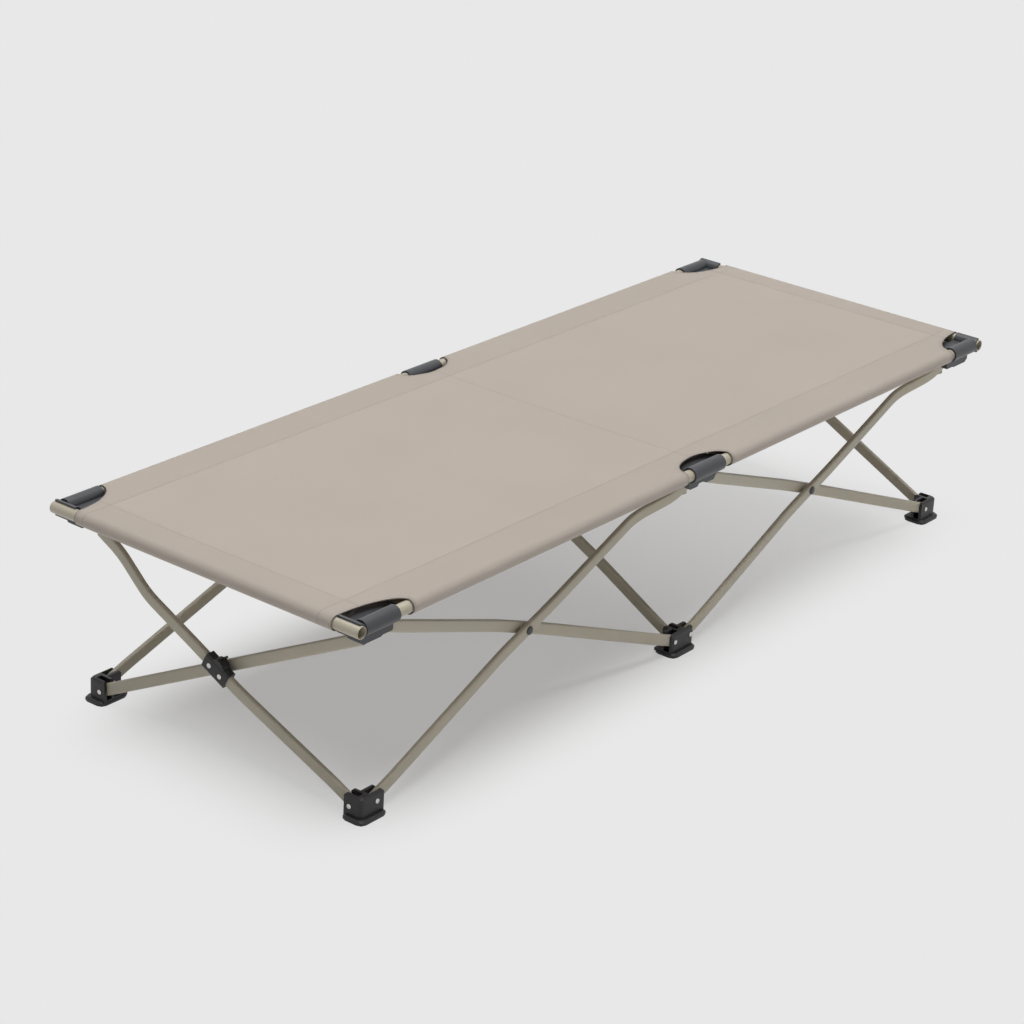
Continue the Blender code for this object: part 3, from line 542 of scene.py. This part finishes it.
# %% Turning
def turned_mesh(name, profile, origin, axis, sides, loop=False):
    """Profile points (radius, distance along the axis) turned about the axis through origin."""
    axis = np.array(axis, float) / np.linalg.norm(axis)
    helper = np.array((0.0, 0.0, 1.0)) if abs(axis[2]) < 0.9 else np.array((1.0, 0.0, 0.0))
    across = np.cross(helper, axis)
    across /= np.linalg.norm(across)
    up = np.cross(axis, across)
    turn = np.linspace(0, 2 * math.pi, sides, endpoint=False)
    radius, along = np.array(profile).T
    ring = np.cos(turn)[:, None] * across + np.sin(turn)[:, None] * up
    points = np.array(origin) + radius[:, None, None] * ring + along[:, None, None] * axis
    return mesh_of(name, points, quads(len(profile), sides, loop, True))


def arc(centre, radius, start, stop, steps):
    """Profile points on a circle, angles in degrees from the outward direction."""
    turn = np.radians(np.linspace(start, stop, steps))
    return [(centre[0] + radius * math.cos(t), centre[1] + radius * math.sin(t)) for t in turn]


def tube_profile(length, lip=0.0003):
    """Half a tube's wall as a loop, with its rims just rounded."""
    outer, inner, half = TUBE_RADIUS, TUBE_RADIUS - TUBE_WALL, length / 2
    return [
        *arc((outer - lip, half - lip), lip, 0, 90, 4),
        (inner + lip, half),
        (inner, half - lip),
        (inner, lip - half),
        (inner + lip, -half),
        *arc((outer - lip, lip - half), lip, -90, 0, 4),
    ]


# %% Rails and end bars
RAILS_AND_BARS = [f"{side}_rail_{end}" for side in SIDES for end in ENDS]
RAILS_AND_BARS += [f"{end}_end_bar" for end in ENDS]
for node in RAILS_AND_BARS:
    low, high = (np.array(corner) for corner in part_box(node))
    axis = np.eye(3)[int(np.argmax(high - low))]
    mesh = turned_mesh(node, tube_profile(float((high - low) @ axis)), (low + high) / 2, axis, 40, True)
    show(node + "_tube", mesh, body_of_node[node], steel, [node])
print("tubes made", len(RAILS_AND_BARS))

# %% Profiles of rivets and hub pins
PIN_RADIUS = 0.0026
HUB_PIN_RADIUS = 0.0030
COLLAR_RADIUS = 0.0098
HEAD_RADIUS = 0.0046
HEAD_HEIGHT = 0.0018
HUB_GAP = 0.0003


def dome(face, radius=HEAD_RADIUS, height=HEAD_HEIGHT):
    """A rivet head from its crown to its rim: a flat ellipse standing on a short edge."""
    turn = np.radians(np.linspace(90, 8, 9))
    crown = [(radius * math.cos(t), face + 0.25 * height + 0.75 * height * math.sin(t)) for t in turn]
    return [(0, face + height), *crown[1:], (radius, face)]


def rivet_profile(top, bottom):
    """A domed head whose underside is at top, over a plain shank down to bottom."""
    return [*dome(top), (PIN_RADIUS, top), (PIN_RADIUS, bottom), (0, bottom)]


def hub_profile(half, wall):
    """Two heads outside the struts and a spacer collar between them, shorter where a bracket's wall lies.

    half is how far the middle of each strut is from the middle of the pin.
    """
    inner = half - STRUT_THICKNESS / 2 - HUB_GAP
    outer = half + STRUT_THICKNESS / 2 + HUB_GAP
    top = inner - wall
    ends = [(COLLAR_RADIUS, top), (COLLAR_RADIUS, -inner)]
    collar = [(HUB_PIN_RADIUS, top), *ends, (HUB_PIN_RADIUS, -inner)]
    tail = [(radius, -height) for radius, height in reversed(dome(outer))]
    return [*dome(outer), (HUB_PIN_RADIUS, outer), *collar, (HUB_PIN_RADIUS, -outer), *tail]


def box_axis(node, outward):
    """The centre of a node's box, and how far it reaches each way along a direction."""
    low, high = (np.array(corner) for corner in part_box(node))
    outward = np.array(outward, float)
    reach = abs(float((high - low) @ outward)) / 2
    return (low + high) / 2, reach


# %% Rivets
RIVETS = [node for node in sorted(frame["nodes"]) if node.endswith("rivet")]
for node in RIVETS:
    way = 1 if "back" in node else -1
    out = 1 if "tail" in node else -1
    outward = (out, 0, 0) if "cross_rivet" in node or "knuckle" in node else (0, way, 0)
    centre, reach = box_axis(node, outward)
    profile = rivet_profile(reach - HEAD_HEIGHT, -reach)
    mesh = turned_mesh(node, profile, centre, outward, 24)
    show(node + "_pin", mesh, body_of_node[node], metal, [node])

# %% Hub pins
KNUCKLE_SHELL = 0.0045
SIDE_HALF = 0.00725
KNUCKLE_HALF = 0.010
MIDDLE_HALF = 0.0075
HUB_PINS = [node for node in sorted(frame["nodes"]) if node.endswith("hub_pin")]
for node in HUB_PINS:
    if node == "middle_cross_hub_pin":
        outward, half, wall = (1, 0, 0), MIDDLE_HALF, 0.0
    elif "cross" in node:
        outward, half, wall = (-1 if "head" in node else 1, 0, 0), KNUCKLE_HALF, KNUCKLE_SHELL
    else:
        outward, half, wall = (0, 1 if "back" in node else -1, 0), SIDE_HALF, 0.0
    centre, _ = box_axis(node, outward)
    mesh = turned_mesh(node, hub_profile(half, wall), centre, outward, 28)
    show(node + "_turned", mesh, body_of_node[node], metal, [node])
print("pins made", len(RIVETS) + len(HUB_PINS))

# %% [markdown]
# The cloth is cut away in half-moons where the connectors are. Each is an ellipse about a place just
# outside the rail, so its size says where the hem starts. They are needed here, before the cloth itself,
# because the plates under them are made to fit.

# %% Cut-outs in the cloth
CUT_OUT = 0.004
CORNER_CUTS = {
    (-1, -1): (0.130, 0.044),
    (-1, 1): (0.104, 0.054),
    (1, -1): (0.108, 0.050),
    (1, 1): (0.122, 0.058),
}
MIDDLE_CUT = (0.068, 0.037)


def mouth(cut):
    """How far from its centre an ellipse crosses the rail's line."""
    return cut[0] * math.sqrt(1 - (CUT_OUT / cut[1]) ** 2)


CORNER_MOUTHS = {corner: END_BAR_X + CUT_OUT - mouth(cut) for corner, cut in CORNER_CUTS.items()}
MIDDLE_MOUTH = mouth(MIDDLE_CUT)
print("mouths of the corner cut-outs", {corner: round(place, 4) for corner, place in CORNER_MOUTHS.items()})

# %% [markdown]
# ## Mouldings
# Feet, connectors and knuckle brackets are injection moulded, so every edge has a small radius.
# Their forms are in the CAD model, and making them again here could only lose something. Its faces are
# loose triangles, so a copy is welded, its flat faces are joined, and a narrow bevel with weighted
# normals gives the round that a moulding tool leaves.


# %% Moulded copies
def round_edges(piece, radius):
    """Rounds a moulding's edges with a narrow bevel, and keeps its flat faces flat to the light."""
    edge = piece.modifiers.new("edge", "BEVEL")
    edge.width = radius
    edge.segments = 3
    edge.limit_method = "ANGLE"
    edge.angle_limit = math.radians(32)
    even = piece.modifiers.new("even", "WEIGHTED_NORMAL")
    even.keep_sharp = True


def moulded(node, radius, plastic):
    """Shows a welded copy of a node's solid, with rounded edges."""
    source = frame["nodes"][node].data
    co = np.empty(len(source.vertices) * 3, np.float32)
    source.vertices.foreach_get("co", co)
    loops = np.empty(len(source.loops), np.int32)
    source.loops.foreach_get("vertex_index", loops)
    mesh = bpy.data.meshes.new(node)
    mesh.from_pydata(co.reshape(-1, 3).astype(float), [], loops.reshape(-1, 3).tolist())
    bm = bmesh.new()
    bm.from_mesh(mesh)
    bmesh.ops.remove_doubles(bm, verts=bm.verts, dist=1e-5)
    bmesh.ops.dissolve_limit(bm, angle_limit=math.radians(0.6), verts=bm.verts, edges=bm.edges)
    bm.to_mesh(mesh)
    bm.free()
    mesh.shade_smooth()
    piece = show(node + "_moulding", mesh, body_of_node[node], plastic, [node])
    round_edges(piece, radius)


# Feet and brackets take the nylon with painted shade, connectors the nylon with painted light.
MOULDINGS = {
    "_foot": (0.0013, plastic_with_painted_shade),
    "_connector": (0.0009, plastic_with_painted_light),
    "_bracket": (0.0009, plastic_with_painted_shade),
}
for node in sorted(frame["nodes"]):
    for ending, (radius, plastic) in MOULDINGS.items():
        if node.endswith(ending):
            moulded(node, radius, plastic)

# %% [markdown]
# Seen through each cut-out, it is dark right up to the cloth's edge. A thin plate carries the connector's
# web
# out to the hem: partly the web itself, and partly a dark sheet standing for the shade under the cloth's
# edge, as painted shade. It is a flat plate, and its outline is short enough to write down. The pivots of
# the side scissors have broad dark caps, turned like the rivets' heads.


# %% Web plates under the cut-outs, partly painted shade
WEB_TOP = RAIL_Z + 0.002
WEB_THICKNESS = 0.006
WEB_PLATE_INSET = 0.0008


def plate_mesh(name, outline, low, high):
    """A flat plate: its outline at two heights, closed by a pole in the middle of each face."""
    outline = np.array(outline, float)
    middle = np.broadcast_to(outline.mean(axis=0), outline.shape)
    rings = [(middle, low), (outline, low), (outline, high), (middle, high)]
    points = np.stack([np.column_stack([ring, np.full(len(ring), height)]) for ring, height in rings])
    return mesh_of(name, points, quads(4, len(outline), False, True))


def web_and_shade_plate(connector, outline):
    """A plate inside a connector's web, from its rail to under the cloth: partly the web, partly painted
    shade.
    """
    low, high = WEB_TOP - WEB_THICKNESS + WEB_PLATE_INSET, WEB_TOP - WEB_PLATE_INSET
    mesh = plate_mesh(connector + "_gusset", outline, low, high)
    piece = show(connector + "_gusset", mesh, body_of_node[connector], plastic_with_painted_light)
    round_edges(piece, 0.0008)


RAIL_SIDE = RAIL_Y - TUBE_RADIUS - 0.0002
for side, way in SIDES.items():
    for end, out in ENDS.items():
        start = CORNER_MOUTHS[out, way] + 0.004
        shape = [(start, RAIL_SIDE), (0.925, RAIL_SIDE), (0.905, 0.287), (0.868, 0.283), (start, 0.296)]
        web_and_shade_plate(f"{end}_{side}_connector", [(out * x, way * y) for x, y in shape])
    shape = [(0.069, RAIL_SIDE), (0.069, 0.312), (0.060, 0.292), (0.048, 0.276)]
    shape += [(-x, y) for x, y in reversed(shape)]
    web_and_shade_plate(f"middle_{side}_connector", [(x, way * y) for x, y in shape])

# %% Caps on the pivots of the side scissors
CAP_RADIUS = 0.0080
CAP_HEIGHT = 0.0036
CAP_FACE = SIDE_HALF + STRUT_THICKNESS / 2 + HUB_GAP
cap_profile = [*dome(CAP_FACE, CAP_RADIUS, CAP_HEIGHT), (0, CAP_FACE)]
for side, way in SIDES.items():
    for end in ENDS:
        node = f"{side}_{end}_hub_pin"
        outward = (0, way, 0)
        centre, _ = box_axis(node, outward)
        mesh = turned_mesh(node + "_cap", cap_profile, centre, outward, 32)
        show(node + "_cap", mesh, body_of_node[node], plastic_with_painted_light)
print("mouldings made")

# %% [markdown]
# ## The sling
# One sheet of cloth, laid out by where it is along the bed (p) and across it (q). It could be draped by
# the cloth simulation, but it is stretched tight and has no loose folds, so a formula for its height is
# quicker and says what it does. Its middle is a shallow trough between the tubes. At each tube it goes
# round and comes back up to a line of stitching under the sheet, which makes the hem. Half-moons are cut
# away where the connectors are, so the sheet's edge follows the tube, then an ellipse, then the next tube.

# %% Outline of the cloth
CLOTH = 0.0011
HEM_OUTER = 0.0127
TOP = RAIL_Z + HEM_OUTER
SAG = 0.0035


def cut_edge(p, centre, cut):
    """How far out the cloth reaches: to an elliptical cut-out about centre, or to the rail beside it."""
    x = np.clip(1 - ((p - centre) / cut[0]) ** 2, 0, None)
    return np.minimum(RAIL_Y, RAIL_Y + CUT_OUT - cut[1] * np.sqrt(x))


def half_width(p, side):
    """How far out the cloth reaches on one side at the places p."""
    width = cut_edge(p, 0.0, MIDDLE_CUT)
    for (out, way), cut in CORNER_CUTS.items():
        if way == side:
            width = np.minimum(width, cut_edge(p, out * (END_BAR_X + CUT_OUT), cut))
    return width


def bunched(start, stop, steps, at_start, at_stop):
    """Places from start to stop, closer together at the ends that are marked."""
    t = np.linspace(0, 1, steps + 1)
    if at_start and at_stop:
        t = (1 - np.cos(math.pi * t)) / 2
    elif at_start:
        t = 1 - np.cos(math.pi / 2 * t)
    elif at_stop:
        t = np.sin(math.pi / 2 * t)
    return start + (stop - start) * t


def with_lines(places, lines, half=0.0022, steps=4):
    """Adds close places across each seam line, and drops those that crowd it."""
    for line in lines:
        places = places[np.abs(places - line) > 2 * half]
        places = np.concatenate([places, np.linspace(line - half, line + half, steps + 1)])
    return np.unique(np.round(places, 7))


def lines_to_end(out):
    """Places along half the bed, from the middle to one end bar, with each hem's mouth among them."""
    near, far = sorted(CORNER_MOUTHS[out, side] for side in (-1, 1))
    places = np.concatenate([
        bunched(0, MIDDLE_MOUTH, 18, False, True),
        np.linspace(MIDDLE_MOUTH, near, 70),
        bunched(near, far, 7, True, False),
        bunched(far, END_BAR_X, 30, True, False),
    ])
    places = with_lines(np.unique(np.round(places, 7)), [END_BAR_X - END_SEAM])
    return places[places > 0.004]


p_lines = np.concatenate([-lines_to_end(-1)[::-1], np.linspace(-0.0022, 0.0022, 5), lines_to_end(1)])
FIXED_Q = RAIL_Y - RAIL_SEAM + 0.004
half_q = with_lines(np.linspace(0, FIXED_Q, 34), [RAIL_Y - RAIL_SEAM])
half_q = half_q[half_q <= FIXED_Q + 1e-9]
q_fixed = np.concatenate([-half_q[:0:-1], half_q])
OUTER_STEPS = 9
print("cloth grid", len(p_lines), len(q_fixed) + 2 * OUTER_STEPS)

# %% [markdown]
# Faint creases fan out from each cut-out, where the pull in the cloth changes direction. Each fan is a
# wave round the cut-out's centre, with its own number of folds and its own strength, and it fades with
# distance. A crease pattern in the bump alone would not show at the cloth's edge.

# %% Height of the cloth
CUTS = [(out * (END_BAR_X + CUT_OUT), side, cut) for (out, side), cut in CORNER_CUTS.items()]
CUTS += [(0.0, side, MIDDLE_CUT) for side in (-1, 1)]
FOLDS = (8, 10, 11, 9, 7, 9)
FOLD_HEIGHTS = (0.0008, 0.0011, 0.0007, 0.0009, 0.0007, 0.0007)
FOLD_REACH = 0.55
GROOVE_DEPTH = 0.0005
GROOVE_HALF = 0.0016


def groove(distance):
    """A stitched line pulls the cloth down in a narrow round groove."""
    return -GROOVE_DEPTH * np.exp(-((distance / GROOVE_HALF) ** 2))


def in_ellipse(p, q, centre, side, cut):
    """Places measured from a cut-out's centre in its own half axes, so that its edge is at distance 1."""
    return (p - centre) / cut[0], (side * (RAIL_Y + CUT_OUT) - q) / cut[1]


def cloth_height(p, q):
    """The trough of the sling, its stitched lines and the creases at each cut-out."""
    across = np.clip(1 - (q / RAIL_Y) ** 2, 0, 1)
    along = np.clip(1 - (p / END_BAR_X) ** 2, 0, 1)
    z = -SAG * across * np.sqrt(along)
    z += groove(np.abs(q) - (RAIL_Y - RAIL_SEAM)) * (along > 0)
    z += groove(np.abs(p) - (END_BAR_X - END_SEAM)) * (across > 0)
    z += 0.6 * groove(p)
    fade = across**0.5 * along**0.5
    for (centre, side, cut), folds, height in zip(CUTS, FOLDS, FOLD_HEIGHTS):
        x, y = in_ellipse(p, q, centre, side, cut)
        wave = np.sin(folds * np.arctan2(y, x) + 1.3 * side + centre)
        z += height * wave * np.exp(-((np.hypot(x, y) - 1) / FOLD_REACH) ** 2) * fade
    return TOP + z


def edge_distance(p, q):
    """About how far a place on the cloth is from the nearest cut-out."""
    nearest = np.full(np.broadcast(p, q).shape, 1.0)
    for centre, side, cut in CUTS:
        x, y = in_ellipse(p, q, centre, side, cut)
        far = np.hypot(x, y) + 1e-9
        nearest = np.minimum(nearest, (far - 1) * far / np.hypot(x / cut[0], y / cut[1]))
    return np.clip(nearest, 0, 1)


# %% Round a tube
def hem_profile(seam):
    """From the top of a tube outwards, round below it and straight back up to the seam: (out, height)."""
    lift = HEM_OUTER - 2 * CLOTH - 0.0003
    distance = math.hypot(seam, lift)
    slope = math.atan2(lift, seam) + math.asin(HEM_OUTER / distance)
    touch = math.pi + slope
    turn = np.linspace(0, touch, 26)
    round_it = np.stack([HEM_OUTER * np.sin(turn), HEM_OUTER * np.cos(turn)], -1)
    back = np.linspace(0, 1, 9)[1:, None] * (np.array([-seam, lift]) - round_it[-1]) + round_it[-1]
    profile = np.concatenate([round_it, back])
    length = np.concatenate([[0], np.cumsum(np.linalg.norm(np.diff(profile, axis=0), axis=1))])
    return profile, length


# %% The sheet as seven grids: the middle, four rail hems and two end hems
points, faces, uvs, trims = [], [], [], []


def add_grid(grid, uv, distance, flip=False):
    """Adds a grid of cloth to the sheet. Its faces point to the side that shows."""
    rows, columns = grid.shape[:2]
    cells = quads(rows, columns, first=sum(len(block) for block in points))
    faces.append(cells[:, ::-1] if flip else cells)
    points.append(grid.reshape(-1, 3))
    uvs.append(uv.reshape(-1, 2))
    trims.append(np.broadcast_to(distance, (rows, columns)).reshape(-1))


share = np.linspace(0, 1, OUTER_STEPS + 1)[1:]
reach = {side: FIXED_Q + (half_width(p_lines, side)[:, None] - FIXED_Q) * share for side in (-1, 1)}
q_middle = np.broadcast_to(q_fixed, (len(p_lines), len(q_fixed)))
q_all = np.concatenate([-reach[-1][:, ::-1], q_middle, reach[1]], axis=1)
p_all = np.broadcast_to(p_lines[:, None], q_all.shape)
sheet_top = np.stack([p_all, q_all, cloth_height(p_all, q_all)], -1)
add_grid(sheet_top, np.stack([p_all, q_all], -1), edge_distance(p_all, q_all))

profile, length = hem_profile(RAIL_SEAM)
for way in (-1, 1):
    for out in (-1, 1):
        low, high = sorted((out * MIDDLE_MOUTH, out * CORNER_MOUTHS[out, way]))
        p = p_lines[(p_lines > low - 1e-6) & (p_lines < high + 1e-6)]
        grid = np.empty((len(p), len(profile), 3))
        grid[..., 0] = p[:, None]
        grid[..., 1] = way * (RAIL_Y + profile[:, 0])
        grid[..., 2] = RAIL_Z + profile[:, 1]
        uv = np.stack(np.broadcast_arrays(p[:, None], way * (RAIL_Y + length)), -1)
        add_grid(grid, uv, np.minimum(p - low, high - p)[:, None], flip=way < 0)

profile, length = hem_profile(END_SEAM)
for out, row in ((-1, q_all[0]), (1, q_all[-1])):
    grid = np.empty((len(profile), len(row), 3))
    grid[..., 0] = out * (END_BAR_X + profile[:, :1])
    grid[..., 1] = row
    grid[..., 2] = RAIL_Z + profile[:, 1:]
    uv = np.stack(np.broadcast_arrays(out * (END_BAR_X + length[:, None]), row), -1)
    add_grid(grid, uv, np.minimum(row - row[0], row[-1] - row), flip=out < 0)

# %% The sling
faces = np.concatenate(faces)
mesh = bpy.data.meshes.new("sling")
mesh.from_pydata(np.concatenate(points), [], faces.tolist())
trims = np.concatenate(trims)
for layer_name, places in (("cloth", np.concatenate(uvs)), ("trim", np.stack([trims, 0 * trims], -1))):
    layer = mesh.uv_layers.new(name=layer_name)
    layer.data.foreach_set("uv", places[faces.reshape(-1)].astype(np.float32).ravel())
bm = bmesh.new()
bm.from_mesh(mesh)
bmesh.ops.remove_doubles(bm, verts=bm.verts, dist=2e-5)
bm.to_mesh(mesh)
bm.free()
mesh.shade_smooth()
sling = show("sling_cloth", mesh, "middle_front_connector", cloth, ["fabric_sling"])
thick = sling.modifiers.new("cloth", "SOLIDIFY")
thick.thickness = CLOTH
thick.offset = -1.0
print("sling quads", len(faces))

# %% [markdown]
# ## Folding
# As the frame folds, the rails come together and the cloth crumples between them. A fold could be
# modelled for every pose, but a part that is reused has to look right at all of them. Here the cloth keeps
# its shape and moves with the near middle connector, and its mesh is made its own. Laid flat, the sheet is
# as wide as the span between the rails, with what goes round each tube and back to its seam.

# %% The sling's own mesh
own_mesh(sling)

# %% [markdown]
# ## Studio
# A pale floor under a soft light from above and a little behind, with a weak fill from the right of the
# camera. The camera, and whatever mirrors the surroundings, sees an even pale surround. To them the floor
# is part lit and part glowing, so that the shadow under the bed is as light as in a catalogue picture.
# Away from the bed it only glows, which keeps the shadow close, as a retoucher does. More lamps could
# lighten the shadow as well, but they would wash out the bed.


# %% Floor
PALE = srgb(232, 232, 232)


def seen_directly(tree, share):
    """The share for rays that come from the camera or from a mirroring surface, and 0 for all others."""
    path = tree.add("ShaderNodeLightPath")
    seen = tree.maths("MAXIMUM", path.outputs["Is Camera Ray"], path.outputs["Is Glossy Ray"])
    seen = tree.maths("MAXIMUM", seen, path.outputs["Is Transmission Ray"])
    return tree.maths("MULTIPLY", seen, share)


LEAST_GLOW = 0.415
TAIL_GLOW = 0.33
SHADE_HALF_LENGTH = 0.68
SHADE_STRETCH = 0.5
SHADE_HALF_WIDTH = 0.20
SHADE_MIDDLE_Y = -0.04
SHADE_EDGE = 0.24


def beyond(tree, value, half):
    """How far a coordinate lies outside the band from -half to half, and 0 inside it."""
    return tree.maths("MAXIMUM", tree.maths("SUBTRACT", tree.maths("ABSOLUTE", value), half), 0.0)


def glow_share(tree, spot):
    """The floor's own glow as a share: least under the head half, more to the tail, 1 away from the bed."""
    part = tree.add("ShaderNodeSeparateXYZ", {0: spot})
    x, y = part.outputs["X"], part.outputs["Y"]
    past = tree.maths("MULTIPLY", beyond(tree, x, SHADE_HALF_LENGTH), SHADE_STRETCH)
    beside = beyond(tree, tree.maths("SUBTRACT", y, SHADE_MIDDLE_Y), SHADE_HALF_WIDTH)
    squares = [tree.maths("MULTIPLY", side, side) for side in (past, beside)]
    far = tree.maths("SQRT", tree.maths("ADD", *squares))
    rise = tree.maths("MULTIPLY", tree.maths("MAXIMUM", x, 0.0), TAIL_GLOW)
    under = tree.maths("ADD", rise, LEAST_GLOW)
    spans = {0: far, 1: 0.0, 2: SHADE_EDGE, 3: under, 4: 1.0}
    return tree.add("ShaderNodeMapRange", spans, interpolation_type="SMOOTHSTEP").outputs[0]


floor_material, tree, shader, place = material("floor")
shader.inputs["Base Color"].default_value = PALE
shader.inputs["Roughness"].default_value = 0.9
shader.inputs["Specular IOR Level"].default_value = 0.0
glow = tree.add("ShaderNodeEmission", {"Color": PALE, "Strength": 1.0})
share = seen_directly(tree, glow_share(tree, place.outputs["Object"]))
both = tree.add("ShaderNodeMixShader", {0: share, 1: shader.outputs[0], 2: glow.outputs[0]})
tree.tree.links.new(both.outputs[0], tree.tree.nodes["Material Output"].inputs["Surface"])
FLOOR_HALF = 14.0
corners = np.array([(-1, -1, 0), (1, -1, 0), (1, 1, 0), (-1, 1, 0)]) * FLOOR_HALF
floor_mesh = bpy.data.meshes.new("floor")
floor_mesh.from_pydata(corners, [], [(0, 1, 2, 3)])
floor = bpy.data.objects.new("floor", floor_mesh)
floor.data.materials.append(floor_material)
bpy.context.scene.collection.objects.link(floor)

# %% Surround
AMBIENT = 0.09
world = bpy.data.worlds.new("studio")
world.use_nodes = True
bpy.context.scene.world = world
tree = Nodes(world.node_tree)
sky = world.node_tree.nodes["Background"]
sky.inputs["Color"].default_value = (1.0, 1.0, 1.0, 1.0)
sky.inputs["Strength"].default_value = AMBIENT
backdrop = tree.add("ShaderNodeBackground", {"Color": PALE, "Strength": 1.0})
share = seen_directly(tree, 1.0)
both = tree.add("ShaderNodeMixShader", {0: share, 1: sky.outputs[0], 2: backdrop.outputs[0]})
tree.tree.links.new(both.outputs[0], world.node_tree.nodes["World Output"].inputs["Surface"])


# %% Lamps
def soft_sun(name, towards, irradiance, spread):
    """A distant lamp as wide as spread degrees, shining along towards."""
    lamp = bpy.data.lights.new(name, "SUN")
    lamp.energy = irradiance
    lamp.angle = math.radians(spread)
    holder = bpy.data.objects.new(name, lamp)
    bpy.context.scene.collection.objects.link(holder)
    holder.rotation_euler = Vector(towards).to_track_quat("-Z", "Y").to_euler()


soft_sun("key", (-0.10, -0.04, -1.0), 2.80, 50)
soft_sun("fill", (0.35, 0.85, -0.10), 0.40, 40)

# %% [markdown]
# The camera stands off the head end's front corner, a little above the bed. It is set by the way it
# looks, its roll, the point it looks at and how far off it is, which is easier to fit to a picture than
# a place and three angles.

# %% Camera
YAW, PITCH, ROLL = (math.radians(angle) for angle in (37.56, 23.33, 3.22))
TARGET = np.array([-0.082, 0.034, 0.2])
DISTANCE = 5.529
FOCAL_LENGTH = 103.18
SENSOR = 36.0
look = np.array([math.cos(YAW) * math.cos(PITCH), math.sin(YAW) * math.cos(PITCH), -math.sin(PITCH)])
right = np.array([math.sin(YAW), -math.cos(YAW), 0.0])
up = np.cross(right, look)
right, up = math.cos(ROLL) * right + math.sin(ROLL) * up, math.cos(ROLL) * up - math.sin(ROLL) * right
view = Matrix(np.column_stack([right, up, -look]).tolist()).to_4x4()
view.translation = (TARGET - look * DISTANCE).tolist()
lens = bpy.data.cameras.new("camera")
lens.lens = FOCAL_LENGTH
lens.sensor_width = SENSOR
lens.clip_end = 60.0
camera = bpy.data.objects.new("camera", lens)
bpy.context.scene.collection.objects.link(camera)
camera.matrix_world = view
bpy.context.scene.camera = camera
bpy.context.scene.view_settings.view_transform = "Standard"
